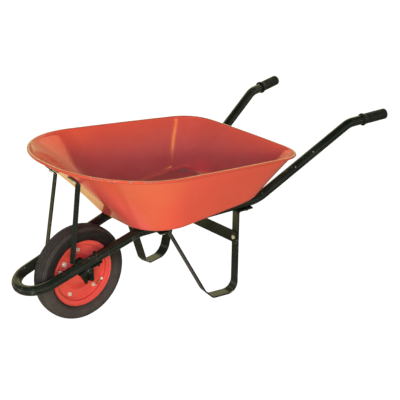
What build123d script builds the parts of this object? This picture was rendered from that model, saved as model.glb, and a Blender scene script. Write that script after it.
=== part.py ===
from build123d import *
import math
import os

# ---------------------------------------------------------------------------
# Builder's wheelbarrow: pressed steel tray, one-piece bent tube frame, two
# strap-steel stands, one pneumatic wheel.
# Millimetres. +Z up, ground at Z = 0, centre plane Y = 0, wheel toward -X,
# handles toward +X.  Everything below is laid out from a point on the ground
# under the axle and moved by AXLE_X at the end, so that the origin lies in
# the middle of the object's footprint.
# ---------------------------------------------------------------------------
AXLE_X = -470.7              # where the wheel axle stands along X

# tube frame
TUBE_R = 17.0
TUBE_WALL = 2.0
FRONT = (-228.3, 0.0, 176.2)  # foremost point of the tube centre line
FRONT_BEND_R = 73.5
FRONT_TILT = 14.97            # degrees the front loop rises rearward
SIDE_SPLAY = 3.0              # degrees each side run spreads from the loop
KNEE1 = (182.6, 92.2, 285.9)
KNEE2 = (643.9, 178.4, 309.1)
ELBOW = (1022.4, 257.2, 530.2)
TIP = (1184.0, 288.3, 540.5)
R_KNEE1, R_KNEE2, R_ELBOW = 110.0, 150.0, 75.0

# grips
GRIP_START = 57.0             # along the last straight, from the elbow point
GRIP_R = 19.4
GRIP_COLLAR_R = 23.0
GRIP_END = 4.0

# tray (sheet mid-surface)
SHEET = 1.6
RIM = dict(xF=-106.25, xR=760.25, yF=317.1, yR=297.6, rF=290.7, rR=95.6, bF=-3.8, bS=9.1, bR=8.7)
RIM_Z0, RIM_K = 560.0, -0.106
FLOOR = dict(xF=164.7, xR=634.0, yF=199.6, yR=209.1, rF=140.0, rR=61.6, bF=0.0, bS=0.0, bR=0.0)
FLOOR_Z0, FLOOR_K = 294.9, 0.0501
FOLD_SIDE, FOLD_REAR = 12.0, 25.5   # floor-to-wall fold set-back
BOW_FRONT, BOW_SIDE, BOW_REAR = 7.2, 1.5, 2.3
CURL_R = 4.4                        # rolled edge, mid-surface radius

# stands
STRAP_W, STRAP_T = 40.0, 5.0
STAND_LEAN = 0.163                  # outward lean, mm per mm of drop
STAND_TOP = 280.0
FOOT_TRIM = 0.08                    # the foot's underside is cut flat to the ground
# (x, z) of the strap's middle before the lean; None = follows the tube's underside
STAND = [(253.0, None, 0), (291.0, None, 10.0), (407.0, 29.0, 60.0), (434.0, 2.5, 18.0),
         (529.0, 2.5, 42.0), (562.0, None, 9.0), (620.0, None, 0)]
BOLT_X_FRONT, BOLT_X_REAR = 275.0, 601.6

# cross brace between the stands
BRACE_H, BRACE_T, BRACE_Z = 42.0, 4.0, 190.0

# front struts
STRUT_W, STRUT_T = 22.0, 4.0
# middle of the upright at two heights: (x, y, z)
STRUT_LOW = (-74.2, 75.2, 240.0)
STRUT_HIGH = (-31.3, 65.7, 500.0)

# axle brackets
WEB_Y, WEB_T = 57.5, 5.0            # inner face and thickness of the hanging web
BRKT_BOLTS = (-45.5, 14.5)          # through-bolts, x on the tube centre line

# wheel
WHEEL_R = 166.0
TYRE_HALF = 38.5
TYRE_BELLY = 137.0            # radius at the widest point
SEAT_R = 101.6
FLANGE_R = 116.8
RIM_T = 2.0
RIM_BOLT_PCR = 82.5
RIM_BOLT_N, RIM_BOLT_A0 = 5, 21.0
HUB_R, HUB_BORE_R, HUB_HALF = 17.0, 13.0, 38.0
SLEEVE_R, SLEEVE_BORE_R = 10.0, 6.3
AXLE_R = 6.0
RUN = 0.06                          # radial running clearance, bush on sleeve

V = Vector


def vec(p, side=1):
    return V(p[0], p[1] * side, p[2])


# --------------------------------------------------------------- tube path
def front_loop():
    b = math.radians(FRONT_TILT)
    e = V(math.cos(b), 0, math.sin(b))
    f = V(*FRONT)
    t = math.radians(90 - SIDE_SPLAY)
    at = lambda a: f + e * (FRONT_BEND_R * (1 - math.cos(a))) + V(0, 1, 0) * (FRONT_BEND_R * math.sin(a))
    return at(-t), f, at(t)


def side_points(side):
    """end of the front loop, knee, knee, elbow, tip on one side"""
    lo, mid, hi = front_loop()
    start = hi if side > 0 else lo
    return [start] + [vec(p, side) for p in (KNEE1, KNEE2, ELBOW, TIP)]


def round_path(pts, radii):
    """straight runs joined by tangent arcs; radii for the inner points"""
    edges, cur = [], pts[0]
    for i in range(1, len(pts) - 1):
        p = pts[i]
        d1, d2 = (p - pts[i - 1]).normalized(), (pts[i + 1] - p).normalized()
        ang = math.acos(max(-1, min(1, d1.dot(d2))))
        t = radii[i - 1] * math.tan(ang / 2)
        s, e = p - d1 * t, p + d2 * t
        m = p + (d2 - d1).normalized() * (radii[i - 1] / math.cos(ang / 2) - radii[i - 1])
        edges.append(Edge.make_line(cur, s))
        edges.append(Edge.make_three_point_arc(s, m, e))
        cur = e
    edges.append(Edge.make_line(cur, pts[-1]))
    return edges


def tube_mid(x, side=1):
    """centre line point at x on a side run, straight parts only"""
    pts = side_points(1)
    for a, b in zip(pts[:-1], pts[1:]):
        if a.X <= x <= b.X:
            p = a + (b - a) * ((x - a.X) / (b.X - a.X))
            return V(p.X, p.Y * side, p.Z)


def tube_dir(x, side=1):
    pts = side_points(1)
    for a, b in zip(pts[:-1], pts[1:]):
        if a.X <= x <= b.X:
            d = (b - a).normalized()
            return V(d.X, d.Y * side, d.Z)


def tube_up(x, side=1):
    """upward normal of the centre line in its vertical plane"""
    d = tube_dir(x, side)
    z = V(0, 0, 1)
    return (z - d * d.Z).normalized()


# --------------------------------------------------------------- helpers
def cyl(p, d, r, h):
    """cylinder from p along d"""
    return Solid.make_cylinder(r, h, Plane(origin=p, z_dir=d))


def hexagon(p, d, af, h, x_dir=None):
    pl = Plane(origin=p, z_dir=d) if x_dir is None else Plane(origin=p, x_dir=x_dir, z_dir=d)
    face = pl * RegularPolygon(af / 2, 6, major_radius=False)
    body = extrude(face, amount=h)
    cone = Solid.make_cylinder(af / 2 * 1.115, h, pl)
    return (body & chamfer(cone.edges().filter_by(GeomType.CIRCLE), 0.16 * h)).solid()


def hex_bolt(p, d, length, r, af, head):
    """p: seat of the head, shank runs along d"""
    b = hexagon(p - d * head, d, af, head) + cyl(p - d * 0.01, d, r, length + 0.01)
    return b.solid()


def nut(p, d, r, af, h):
    return (hexagon(p, d, af, h) - cyl(p - d, d, r + 0.05, h + 2)).solid()


def washer(p, d, r, R, h):
    return (cyl(p, d, R, h) - cyl(p - d, d, r, h + 2)).solid()


def ribbon(pts, radii, t):
    """closed 2D outline (list of edges) of a strap of thickness t along a bent line.
    pts are (u, v) pairs, radii belong to the inner points and are of the middle line."""
    P = [V(a, b, 0) for a, b in pts]
    n = len(P)
    dirs = [(P[i + 1] - P[i]).normalized() for i in range(n - 1)]
    nor = [V(-d.Y, d.X, 0) for d in dirs]

    def side(sg):
        out, cur = [], P[0] + nor[0] * (sg * t / 2)
        for i in range(1, n - 1):
            d1, d2, r = dirs[i - 1], dirs[i], radii[i - 1]
            turn = d1.X * d2.Y - d1.Y * d2.X
            ang = math.acos(max(-1, min(1, d1.dot(d2))))
            tt = r * math.tan(ang / 2)
            c = P[i] - d1 * tt + nor[i - 1] * (r if turn > 0 else -r)
            rr = r - sg * t / 2 if turn > 0 else r + sg * t / 2
            s0, e0 = P[i] - d1 * tt, P[i] + d2 * tt
            s, e = c + (s0 - c).normalized() * rr, c + (e0 - c).normalized() * rr
            m = c + ((s0 - c).normalized() + (e0 - c).normalized()).normalized() * rr
            out.append(Edge.make_line(cur, s))
            out.append(Edge.make_three_point_arc(s, m, e))
            cur = e
        end = P[-1] + nor[-1] * (sg * t / 2)
        out.append(Edge.make_line(cur, end))
        return out, end

    a, ea = side(1)
    b, eb = side(-1)
    sa, sb = P[0] + nor[0] * (t / 2), P[0] - nor[0] * (t / 2)
    return a + [Edge.make_line(ea, eb)] + b + [Edge.make_line(sa, sb)]


def ribbon_face(pts, radii, t):
    return Face(Wire(ribbon(pts, radii, t)))


parts = {}


def put(name, *solids):
    out = []
    for s in solids:
        out += list(s.solids()) if hasattr(s, "solids") else [s]
    parts[name] = out


# =============================================================== main tube
pr, pl_ = side_points(1), side_points(-1)
d_tip = (pr[-1] - pr[-2]).normalized()
TUBE_BACK = GRIP_END + 0.2
right_pts = pr[:-1] + [pr[-1] - d_tip * TUBE_BACK]
left_pts = [V(p.X, -p.Y, p.Z) for p in right_pts]
radii = [R_KNEE1, R_KNEE2, R_ELBOW]
right_edges = round_path(right_pts, radii)
lo, mid, hi = front_loop()
left_edges = round_path(list(reversed(left_pts)), list(reversed(radii)))
tube_path = Wire(left_edges + [Edge.make_three_point_arc(lo, mid, hi)] + right_edges)
start = left_pts[-1]
d0 = (left_pts[-2] - left_pts[-1]).normalized()
section = Plane(origin=start, z_dir=d0) * (Circle(TUBE_R) - Circle(TUBE_R - TUBE_WALL))
frame = sweep(section, path=tube_path).solid()
print("frame tube volume ratio", frame.volume / (tube_path.length * math.pi * (TUBE_R ** 2 - (TUBE_R - TUBE_WALL) ** 2)))

# holes for the tray bolts and the bracket bolts
for side in (-1, 1):
    for x in (BOLT_X_FRONT, BOLT_X_REAR) + BRKT_BOLTS:
        c, up = tube_mid(x, side), tube_up(x, side)
        frame = frame - cyl(c - up * 30, up, 4.3, 60)
frame = frame.solid()
put("main_frame_tube", frame)

# =============================================================== grips
for side, name in ((-1, "left_grip"), (1, "right_grip")):
    pts = side_points(side)
    d = (pts[-1] - pts[-2]).normalized()
    g0 = pts[-2] + d * GRIP_START
    L = (pts[-1] - g0).length
    r = GRIP_R
    prof = [(TUBE_R + 0.03, 0), (GRIP_COLLAR_R - 1.5, 0), (GRIP_COLLAR_R, 1.5), (GRIP_COLLAR_R, 5.0),
            (GRIP_COLLAR_R - 1.5, 6.5), (r + 0.6, 8.0), (r, 12.0)]
    z = 18.0
    while z < L - 20:
        prof += [(r, z), (r - 0.8, z + 1.0), (r - 0.8, z + 2.0), (r, z + 3.0)]
        z += 8.0
    prof += [(r, L - 8.0), (r - 0.6, L - 3.0), (r - 3.0, L - 0.5), (r - 6.0, L), (0, L), (0, L - GRIP_END), (TUBE_R + 0.03, L - GRIP_END)]
    face = Face(Wire.make_polygon([V(a, 0, b) for a, b in prof], close=True))
    solid = revolve(Plane.XY * face, axis=Axis.Z, revolution_arc=360).solid()
    put(name, solid.moved(Plane(origin=g0, z_dir=d).location))


# =============================================================== tray
def outline(xF, xR, yF, yR, rF, rR, bF, bS, bR, nc=12, ne=7):
    """plan outline, closed, from the middle of the front edge; half with +y first"""
    a, b = (xF, yF), (xR, yR)
    L = math.hypot(b[0] - a[0], b[1] - a[1])
    e1, e2, e3 = (0.0, 1.0), ((b[0] - a[0]) / L, (b[1] - a[1]) / L), (0.0, -1.0)

    def fil(P, d1, d2, r):
        dot = d1[0] * d2[0] + d1[1] * d2[1]
        ang = math.acos(max(-1, min(1, dot)))
        t = r * math.tan(ang / 2)
        s = (P[0] - d1[0] * t, P[1] - d1[1] * t)
        n = (d2[0] - d1[0] * dot, d2[1] - d1[1] * dot)
        nl = math.hypot(*n)
        n = (n[0] / nl, n[1] / nl)
        c = (s[0] + n[0] * r, s[1] + n[1] * r)
        return [(c[0] - n[0] * r * math.cos(q) + d1[0] * r * math.sin(q),
                 c[1] - n[1] * r * math.cos(q) + d1[1] * r * math.sin(q))
                for q in [ang * i / (nc - 1) for i in range(nc)]]

    f1, f2 = fil(a, e1, e2, rF), fil(b, e2, e3, rR)
    pts = [(xF, f1[0][1] * i / (ne - 1)) for i in range(ne - 1)] + f1
    m = ne + 4
    pts += [(f1[-1][0] + (f2[0][0] - f1[-1][0]) * i / m, f1[-1][1] + (f2[0][1] - f1[-1][1]) * i / m) for i in range(1, m)]
    pts += f2 + [(xR, f2[-1][1] * (1 - i / (ne - 1))) for i in range(1, ne)]
    ym, xm, hl = max(yF, yR), (xF + xR) / 2, (xR - xF) / 2
    half = []
    for x, y in pts:
        u = (x - xm) / hl
        y2 = y * (1 + bS / ym * (1 - u * u))
        wF, wR = max(0.0, min(1.0, -u)) ** 2, max(0.0, min(1.0, u)) ** 2
        x2 = x - bF * (1 - min(1.0, y2 / yF) ** 2) * wF + bR * (1 - min(1.0, y2 / yR) ** 2) * wR
        half.append((x2, y2))
    return half + [(x, -y) for x, y in reversed(half[1:-1])]


rim_line = [V(x, y, RIM_Z0 + RIM_K * x) for x, y in outline(**RIM)]
floor_line = [V(x, y, FLOOR_Z0 + FLOOR_K * x) for x, y in outline(**FLOOR)]
N = len(rim_line)
FLOOR_N = V(-FLOOR_K, 0, 1).normalized()
RIM_N = V(-RIM_K, 0, 1).normalized()


def in_plane(v, n):
    w = v - n * v.dot(n)
    return w.normalized()


def closed_normals(line, n):
    """outward in-plane normals of a closed planar line"""
    out = []
    for i in range(len(line)):
        t = (line[(i + 1) % len(line)] - line[i - 1]).normalized()
        out.append(t.cross(n).normalized())
    return out


rim_out = closed_normals(rim_line, RIM_N)
if rim_out[0].X > 0:
    rim_out = [v * -1 for v in rim_out]

EDGE_IN = CURL_R                       # wall top stands inside the curl centre by the curl radius
wall_top = [p - o * EDGE_IN for p, o in zip(rim_line, rim_out)]


def fold(i):
    """floor set-back at outline index i"""
    h = wall_top[i] - floor_line[i]
    a = h.X / math.hypot(h.X, h.Y)
    w = max(0.0, a) ** 2
    return FOLD_SIDE + (FOLD_REAR - FOLD_SIDE) * w


def bow(i):
    h = wall_top[i] - floor_line[i]
    a = h.X / math.hypot(h.X, h.Y)
    return (BOW_FRONT if a < 0 else BOW_REAR) * a * a + BOW_SIDE * (1 - a * a)


NF, NW = 5, 6
cols = []          # per index: list of mid-surface points from the floor edge to the wall top
for i in range(N):
    F, W = floor_line[i], wall_top[i]
    w = (W - F).normalized()
    hz = V(w.X, w.Y, 0).normalized()
    T = fold(i)
    P0 = F - hz * T
    P0 = V(P0.X, P0.Y, FLOOR_Z0 + FLOOR_K * P0.X)
    P2 = F + w * T
    up = in_plane(V(0, 0, 1), w)
    col = []
    for k in range(NF):
        s = k / NF
        col.append(P0 * (1 - s) ** 2 + F * (2 * s * (1 - s)) + P2 * (s * s))
    for k in range(NW + 1):
        s = k / NW
        col.append(P2 + (W - P2) * s + up * (bow(i) * 4 * s * (1 - s)))
    cols.append(col)
M = len(cols[0])


def offsets(sgn):
    """mid-surface moved by half a sheet along its normal; sgn +1 is the inside of the tray"""
    rows = []
    for k in range(M):
        row = []
        for i in range(N):
            p = cols[i][k]
            if k == 0:
                nrm = FLOOR_N
            elif k == M - 1:
                w = (cols[i][k] - cols[i][k - 1]).normalized()
                o = rim_out[i] * -1
                perp = o - w * o.dot(w)
                row.append(p + o * (sgn * SHEET / 2 / perp.length))
                continue
            else:
                tu = cols[(i + 1) % N][k] - cols[i - 1][k]
                tv = cols[i][k + 1] - cols[i][k - 1]
                nrm = tu.cross(tv).normalized()
                if nrm.Z < 0:
                    nrm = nrm * -1
            row.append(p + nrm * (sgn * SHEET / 2))
        rows.append(row)
    return rows


def curl_rows(r, a0, a1, n):
    """rows round the rolled edge; angle 180 is inward, 90 is up"""
    rows = []
    for k in range(n):
        a = math.radians(a0 + (a1 - a0) * k / (n - 1))
        rows.append([p + o * (r * math.cos(a)) + RIM_N * (r * math.sin(a)) for p, o in zip(rim_line, rim_out)])
    return rows


inner, outer = offsets(1), offsets(-1)
ri, ro = CURL_R + SHEET / 2, CURL_R - SHEET / 2      # the inside skin is the outside of the curl
seq = inner[:-1] + curl_rows(ri, 172, -140, 14) + curl_rows(ro, -140, 172, 12) + list(reversed(outer[:-1]))


def ring(points):
    return Wire([Edge.make_spline(points, periodic=True)])


tray = Solid.make_loft([ring(r) for r in seq], ruled=True)
if tray.volume < 0:
    tray = Solid(tray.wrapped.Reversed())
print("tray volume", tray.volume, "valid", tray.is_valid)

# floor bolts
for side in (-1, 1):
    for x in (BOLT_X_FRONT, BOLT_X_REAR):
        c, up = tube_mid(x, side), tube_up(x, side)
        tray = tray - cyl(c, up, 4.3, 40)


def wall_point(y_want, z_want):
    """outer skin point and outward normal on the front wall, near the given y and z"""
    best = None
    for i in range(N):
        for k in range(NF, M - 1):
            p = outer[k][i]
            if p.X > 200:
                continue
            q = (p.Y - y_want) ** 2 + (p.Z - z_want) ** 2
            if best is None or q < best[0]:
                best = (q, i, k)
    q, i, k = best
    tu = outer[k][(i + 1) % N] - outer[k][i - 1]
    tv = outer[k + 1][i] - outer[k - 1][i]
    n = tu.cross(tv).normalized()
    if n.X > 0:
        n = n * -1
    p = outer[k][i]
    # slide along the tangent plane to the wanted y and z
    a, b = y_want - p.Y, z_want - p.Z
    x = p.X - (n.Y * a + n.Z * b) / n.X
    return V(x, y_want, z_want), n


# =============================================================== front struts
STRUT_BOLT_Z = 522.0
for side, name in ((-1, "left"), (1, "right")):
    wp, wn = wall_point(side * STRUT_HIGH[1], STRUT_BOLT_Z)
    # flat strap bent in the vertical plane that meets the wall squarely
    ax = V(wn.X, wn.Y, 0).normalized()                # forward
    wd = V(0, 0, 1).cross(ax)                         # across the strap
    o = V(wp.X, wp.Y, 0)
    u = lambda p: (V(p.X, p.Y, 0) - o).dot(ax * -1)   # rearward distance in the plane
    lowp, highp = vec(STRUT_LOW, side), vec(STRUT_HIGH, side)
    k = (u(highp) - u(lowp)) / (highp.Z - lowp.Z)
    # wall line in the plane
    nu, nv = -math.hypot(wn.X, wn.Y), wn.Z
    du, dv = (nv, -nu) if nu < 0 else (-nv, nu)
    off = STRUT_T / 2 + 0.9
    bu, bv = nu * off, wp.Z + nv * off                # middle line of the top flange at the bolt
    # upright: u = u(low) + k (v - low.Z); flange: u = bu + du s, v = bv + dv s
    q = (u(lowp) + k * (bv - lowp.Z) - bu) / (du - k * dv)
    bend = (bu + du * q, bv + dv * q)
    top = (bu + du * 26.0, bv + dv * 26.0)
    # foot on top of the tube
    over = (TUBE_R + STRUT_T / 2 + 0.8) / tube_up(-60.0).Z
    rise = math.tan(math.asin(tube_dir(-60.0).Z))
    zt = tube_mid(-74.0).Z + over
    tz = zt
    for it in range(6):
        uu = u(lowp) + k * (tz - lowp.Z)
        tz = tube_mid(o.X - ax.X * uu).Z + over
    knee = (uu, tz)
    foot = (uu + 42.0, tz + 42.0 * rise)
    prof = ribbon_face([foot, knee, bend, top], [6.0, 9.0], STRUT_T)
    plane = Plane(origin=o, x_dir=ax * -1, z_dir=(ax * -1).cross(V(0, 0, 1)))
    body = extrude(plane * prof, amount=STRUT_W / 2, both=True).solid()
    # the upright also leans inward a little: shift across the strap in proportion to the drop
    a = (lowp - o).dot(wd) / (bend[1] - lowp.Z)
    m = Matrix([[1, 0, -a * wd.X, a * wd.X * bend[1]], [0, 1, -a * wd.Y, a * wd.Y * bend[1]], [0, 0, 1, 0]])
    body = body.transform_geometry(m)
    body = body - cyl(wp + wn * 12, wn * -1, 4.3, 30)
    c, up = tube_mid(BRKT_BOLTS[0], side), tube_up(BRKT_BOLTS[0], side)
    body = body - cyl(c, up, 4.3, 40)
    put(name + "_front_strut", body)
    tray = tray - cyl(wp + wn * 12, wn * -1, 4.3, 30)
    # fixing through the wall
    seat = wp + wn * (0.9 + STRUT_T + 0.1)
    parts.setdefault("strut_top_bolts", []).append(hex_bolt(seat, wn * -1, 18.0, 4.0, 13.0, 5.3))
    parts.setdefault("strut_top_nuts", []).append(nut(wp - wn * (SHEET + 0.6), wn * -1, 4.0, 13.0, 6.5))
    print(name, "strut bend", bend, "knee", knee)

tray = tray.solid()
put("tray", tray)

# =============================================================== stands
for side, name in ((-1, "left_stand"), (1, "right_stand")):
    d = tube_dir(400.0, 1)
    dh = V(d.X, d.Y, 0).normalized()
    org = V(KNEE1[0], KNEE1[1], 0)
    s_of = lambda x: (x - KNEE1[0]) / dh.X
    under = lambda x: tube_mid(x, 1).Z - (TUBE_R + STRAP_T / 2 + 0.3) / tube_up(x, 1).Z
    pts = [(s_of(x), under(x) if z is None else z - FOOT_TRIM) for x, z, r in STAND]
    prof = ribbon_face(pts, [r for x, z, r in STAND[1:-1]], STRAP_T)
    plane = Plane(origin=org, x_dir=dh, z_dir=dh.cross(V(0, 0, 1)))
    body = extrude(plane * prof, amount=STRAP_W / 2, both=True).solid()
    # lean outward: shift along the horizontal normal in proportion to the drop
    nx, ny = -dh.Y, dh.X
    k = STAND_LEAN
    m = Matrix([[1, 0, -k * nx, k * nx * STAND_TOP], [0, 1, -k * ny, k * ny * STAND_TOP], [0, 0, 1, 0]])
    body = body.transform_geometry(m)
    body = (body - Pos(480, 200, -20) * Box(400, 400, 40)).solid()      # ground face of the foot
    for x in (BOLT_X_FRONT, BOLT_X_REAR):
        c, up = tube_mid(x, 1), tube_up(x, 1)
        body = body - cyl(c - up * 40, up, 4.3, 40)
    body = body.solid()
    # hole for the brace bolt, square to the rear upright
    lean = (STAND[5][0] - STAND[4][0]) / dh.X / (under(STAND[5][0]) - 2.5)
    xb = STAND[4][0] + lean * dh.X * (BRACE_Z - 2.5)
    drop = k * (STAND_TOP - BRACE_Z)
    bc = V(xb + nx * drop, KNEE1[1] + (xb - KNEE1[0]) / dh.X * dh.Y + ny * drop, BRACE_Z)
    fn = (dh - V(0, 0, 1) * lean).normalized()
    body = (body - cyl(bc - fn * 20, fn, 4.3, 40)).solid()
    if side < 0:
        body = mirror(body, about=Plane.XZ)
    put(name, body)
    if side > 0:
        brace_c, brace_n, brace_dh, brace_lean = bc, fn, dh, lean

# cross brace: flat bar between the stands, its ends turned to lie on the straps
off = (STRAP_T / 2 + BRACE_T / 2) / brace_n.dot(brace_dh) + 0.2
e0 = V(brace_c.X, brace_c.Y, 0) - brace_dh * off
tdir = V(-brace_dh.Y, brace_dh.X, 0)               # along the strap's width, outward
A, B = e0 + tdir * 15.0, e0 - tdir * 17.0
pts = [(A.X, A.Y), (B.X, B.Y), (B.X, -B.Y), (A.X, -A.Y)]
prof = ribbon_face(pts, [12.0, 12.0], BRACE_T)
brace = Solid.extrude(prof, V(0, 0, BRACE_H)).moved(Location((0, 0, BRACE_Z - BRACE_H / 2)))
sx = brace_lean / brace_dh.X
brace = brace.transform_geometry(Matrix([[1, 0, sx, -sx * BRACE_Z], [0, 1, 0, 0], [0, 0, 1, 0]]))
for side in (-1, 1):
    c = V(brace_c.X, brace_c.Y * side, BRACE_Z)
    n = V(brace_n.X, brace_n.Y * side, brace_n.Z)
    brace = brace - cyl(c - n * 25, n, 4.3, 40)
    gap = STRAP_T / 2 + 0.35 + BRACE_T
    parts.setdefault("brace_bolts", []).append(hex_bolt(c - n * gap, n, gap + STRAP_T / 2 + 11.0, 4.0, 13.0, 5.3))
    parts.setdefault("brace_nuts", []).append(nut(c + n * (STRAP_T / 2 + 0.15), n, 4.0, 13.0, 6.5))
put("stand_cross_brace", brace.solid())

# =============================================================== axle brackets
for side, name in ((-1, "left_axle_bracket"), (1, "right_axle_bracket")):
    d, up = tube_dir(0, 1), tube_up(0, 1)
    c0 = tube_mid(0.0, 1)
    flat = V(d.X, 0, d.Z).normalized()
    fup = V(-flat.Z, 0, flat.X)
    # flange under the tube, wide enough for both bolts
    f0 = c0 - fup * (TUBE_R + 0.35)
    flange_plane = Plane(origin=V(f0.X, 0, f0.Z), x_dir=flat, z_dir=fup)
    fl_len0, fl_len1 = -66.0, 29.0
    y0, y1 = WEB_Y, 95.0
    flange = extrude(flange_plane * Pos((fl_len0 + fl_len1) / 2, (y0 + y1) / 2) * RectangleRounded(fl_len1 - fl_len0, y1 - y0, 5.0), amount=-4.5)
    # hanging web with an open slot for the axle, drawn in XZ
    zf = lambda x: (f0 + flat * (x - f0.X) / flat.X).Z - 1.0
    r = AXLE_R + 0.3
    zc = WHEEL_R
    a = Edge.make_three_point_arc(V(-r, 0, zc), V(0, 0, zc + r), V(r, 0, zc))
    pl = [V(-r, 0, zc), V(-r, 0, zc - 9.0), V(-9.5, 0, zc - 20.0), V(-13.0, 0, zc - 22.0), V(-17.5, 0, zc - 19.0), V(-40.0, 0, zc + 24.0), V(-46.0, 0, zc + 38.0),
          V(-52.0, 0, zf(-52.0)), V(20.0, 0, zf(20.0)), V(18.0, 0, zc + 30.0), V(17.5, 0, zc - 15.0), V(14.0, 0, zc - 19.0), V(11.0, 0, zc - 18.0), V(r, 0, zc - 9.0), V(r, 0, zc)]
    edges = [Edge.make_line(p, q) for p, q in zip(pl[:-1], pl[1:])]
    wf = Face(Wire(edges + [a]))
    web = Solid.extrude(wf, V(0, WEB_T, 0)).moved(Location((0, WEB_Y, 0)))
    body = (web + flange).solid()
    for x in BRKT_BOLTS:
        c, u_ = tube_mid(x, 1), tube_up(x, 1)
        body = body - cyl(c - u_ * 40, u_, 4.3, 40)
    body = body.solid()
    if side < 0:
        body = mirror(body, about=Plane.XZ)
    put(name, body)

# =============================================================== through-bolts
for side in (-1, 1):
    # bracket bolts: head on the tube (the front one on the strut foot), nut under the flange
    for j, x in enumerate(BRKT_BOLTS):
        c, up = tube_mid(x, side), tube_up(x, side)
        h = TUBE_R + (STRUT_T + 1.4 if j == 0 else 0.15)
        low = TUBE_R + 0.35 + 4.5 + 0.4
        parts.setdefault("bracket_bolts", []).append(hex_bolt(c + up * h, up * -1, h + low + 13.0, 4.0, 13.0, 5.3))
        parts.setdefault("bracket_nuts", []).append(nut(c - up * low, up * -1, 4.0, 13.0, 6.5))
    # tray bolts: domed head inside the tray, nut under the stand's flange
    for x in (BOLT_X_FRONT, BOLT_X_REAR):
        c, up = tube_mid(x, side), tube_up(x, side)
        ft = FLOOR_Z0 + FLOOR_K * c.X
        h = (V(c.X, c.Y, ft) - c).dot(up) + SHEET / 2 + 0.4
        low = TUBE_R + STRAP_T + 0.3 + 1.7
        dome = Solid.make_sphere(12.0, Plane(origin=c + up * (h + 3.2 - 12.0), z_dir=up), angle1=-90, angle2=90, angle3=360)
        slab = cyl(c + up * h, up, 10.0, 3.4)
        head = (dome & slab).solid()
        shank = cyl(c + up * (h + 0.05), up * -1, 4.0, h + low + 9.3)
        parts.setdefault("tray_bolts", []).append((head + shank).solid())
        parts.setdefault("tray_washers", []).append(washer(c - up * (low - 0.1), up * -1, 4.3, 9.0, 1.6))
        parts.setdefault("tray_nuts", []).append(nut(c - up * (low + 1.6), up * -1, 4.0, 13.0, 6.5))

# =============================================================== axle
Yp = V(0, 1, 0)
ctr = V(0, 0, WHEEL_R)
w_out = WEB_Y + WEB_T
put("axle_bolt", hex_bolt(ctr + Yp * (w_out + 2.5), Yp * -1, 2 * (w_out + 2.5) + 10.8 + 5.0, AXLE_R, 18.0, 7.5))
put("axle_washers", *[washer(ctr + Yp * (s * w_out), Yp * s, AXLE_R + 0.3, 12.0, 2.5) for s in (-1, 1)])
put("axle_nut", nut(ctr - Yp * (w_out + 2.5), Yp * -1, AXLE_R, 18.0, 10.8))
put("axle_sleeve", washer(ctr - Yp * WEB_Y, Yp, SLEEVE_BORE_R, SLEEVE_R, 2 * WEB_Y))
FL = 3.0
col0 = HUB_HALF + FL + 0.4
put("axle_spacers", *[washer(ctr + Yp * (s * col0), Yp * s, SLEEVE_R + 0.1, 14.0, WEB_Y - col0) for s in (-1, 1)])


# =============================================================== wheel
def turned(points, name=None):
    """solid of revolution about the axle; points are (radius, y)"""
    f = Face(Wire.make_polygon([V(r, y, 0) for r, y in points], close=True))
    return revolve(f, axis=Axis.Y, revolution_arc=360).solid().moved(Location((0, 0, WHEEL_R)))


# hub and bushes
hub = washer(ctr - Yp * HUB_HALF, Yp, HUB_BORE_R, HUB_R, 2 * HUB_HALF)
put("hub_tube", hub)
put("hub_bushes", *[turned([(SLEEVE_R + RUN, s * (HUB_HALF - 18)), (HUB_BORE_R - 0.02, s * (HUB_HALF - 18)), (HUB_BORE_R - 0.02, s * HUB_HALF),
                            (16.0, s * HUB_HALF), (16.0, s * (HUB_HALF + FL)), (SLEEVE_R + RUN, s * (HUB_HALF + FL))]) for s in (-1, 1)])

# pressed wheel halves: cone from the hub, flat bolting ring, rim seat, flange with a rolled lip
half_line = [(HUB_R + 0.05, 34.0), (26.0, 34.0), (62.0, 1.05), (94.5, 1.05), (97.0, 5.5), (SEAT_R - 1.0, 6.5), (SEAT_R - 1.0, 18.5), (FLANGE_R - 4.0, 19.5), (FLANGE_R - 1.0, 23.5)]
half_radii = [7.0, 12.0, 2.2, 2.2, 2.2, 3.0, 2.2]
HOLE_A, HOLE_R = 143.5, 76.0
VALVE_A = -43.0
VALVE_IN, VALVE_OUT = (103.2, -2.4), (88.5, -10.5)      # (radius, y) ends of the straight part


def polar(a, r, y):
    return V(r * math.cos(math.radians(a)), y, WHEEL_R + r * math.sin(math.radians(a)))


for side, name in ((-1, "left_wheel_half"), (1, "right_wheel_half")):
    f = ribbon_face(half_line, half_radii, RIM_T)
    if side < 0:
        f = Face(Wire([e.mirror(Plane.XZ) for e in ribbon(half_line, half_radii, RIM_T)]))
    body = revolve(f, axis=Axis.Y, revolution_arc=360).moved(Location((0, 0, WHEEL_R)))
    for k in range(RIM_BOLT_N):
        body = body - cyl(polar(RIM_BOLT_A0 + 72 * k, RIM_BOLT_PCR, -10), Yp, 4.3, 20)
    body = body - cyl(polar(HOLE_A, HOLE_R, -10), Yp, 5.3, 20)
    if side < 0:
        # valve hole through the seat
        a0, a1 = polar(VALVE_A, *VALVE_IN), polar(VALVE_A, *VALVE_OUT)
        body = body - cyl(a0 + (a0 - a1).normalized() * 4, (a1 - a0).normalized(), 4.4, 20.0)
    put(name, body.solid())

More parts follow.
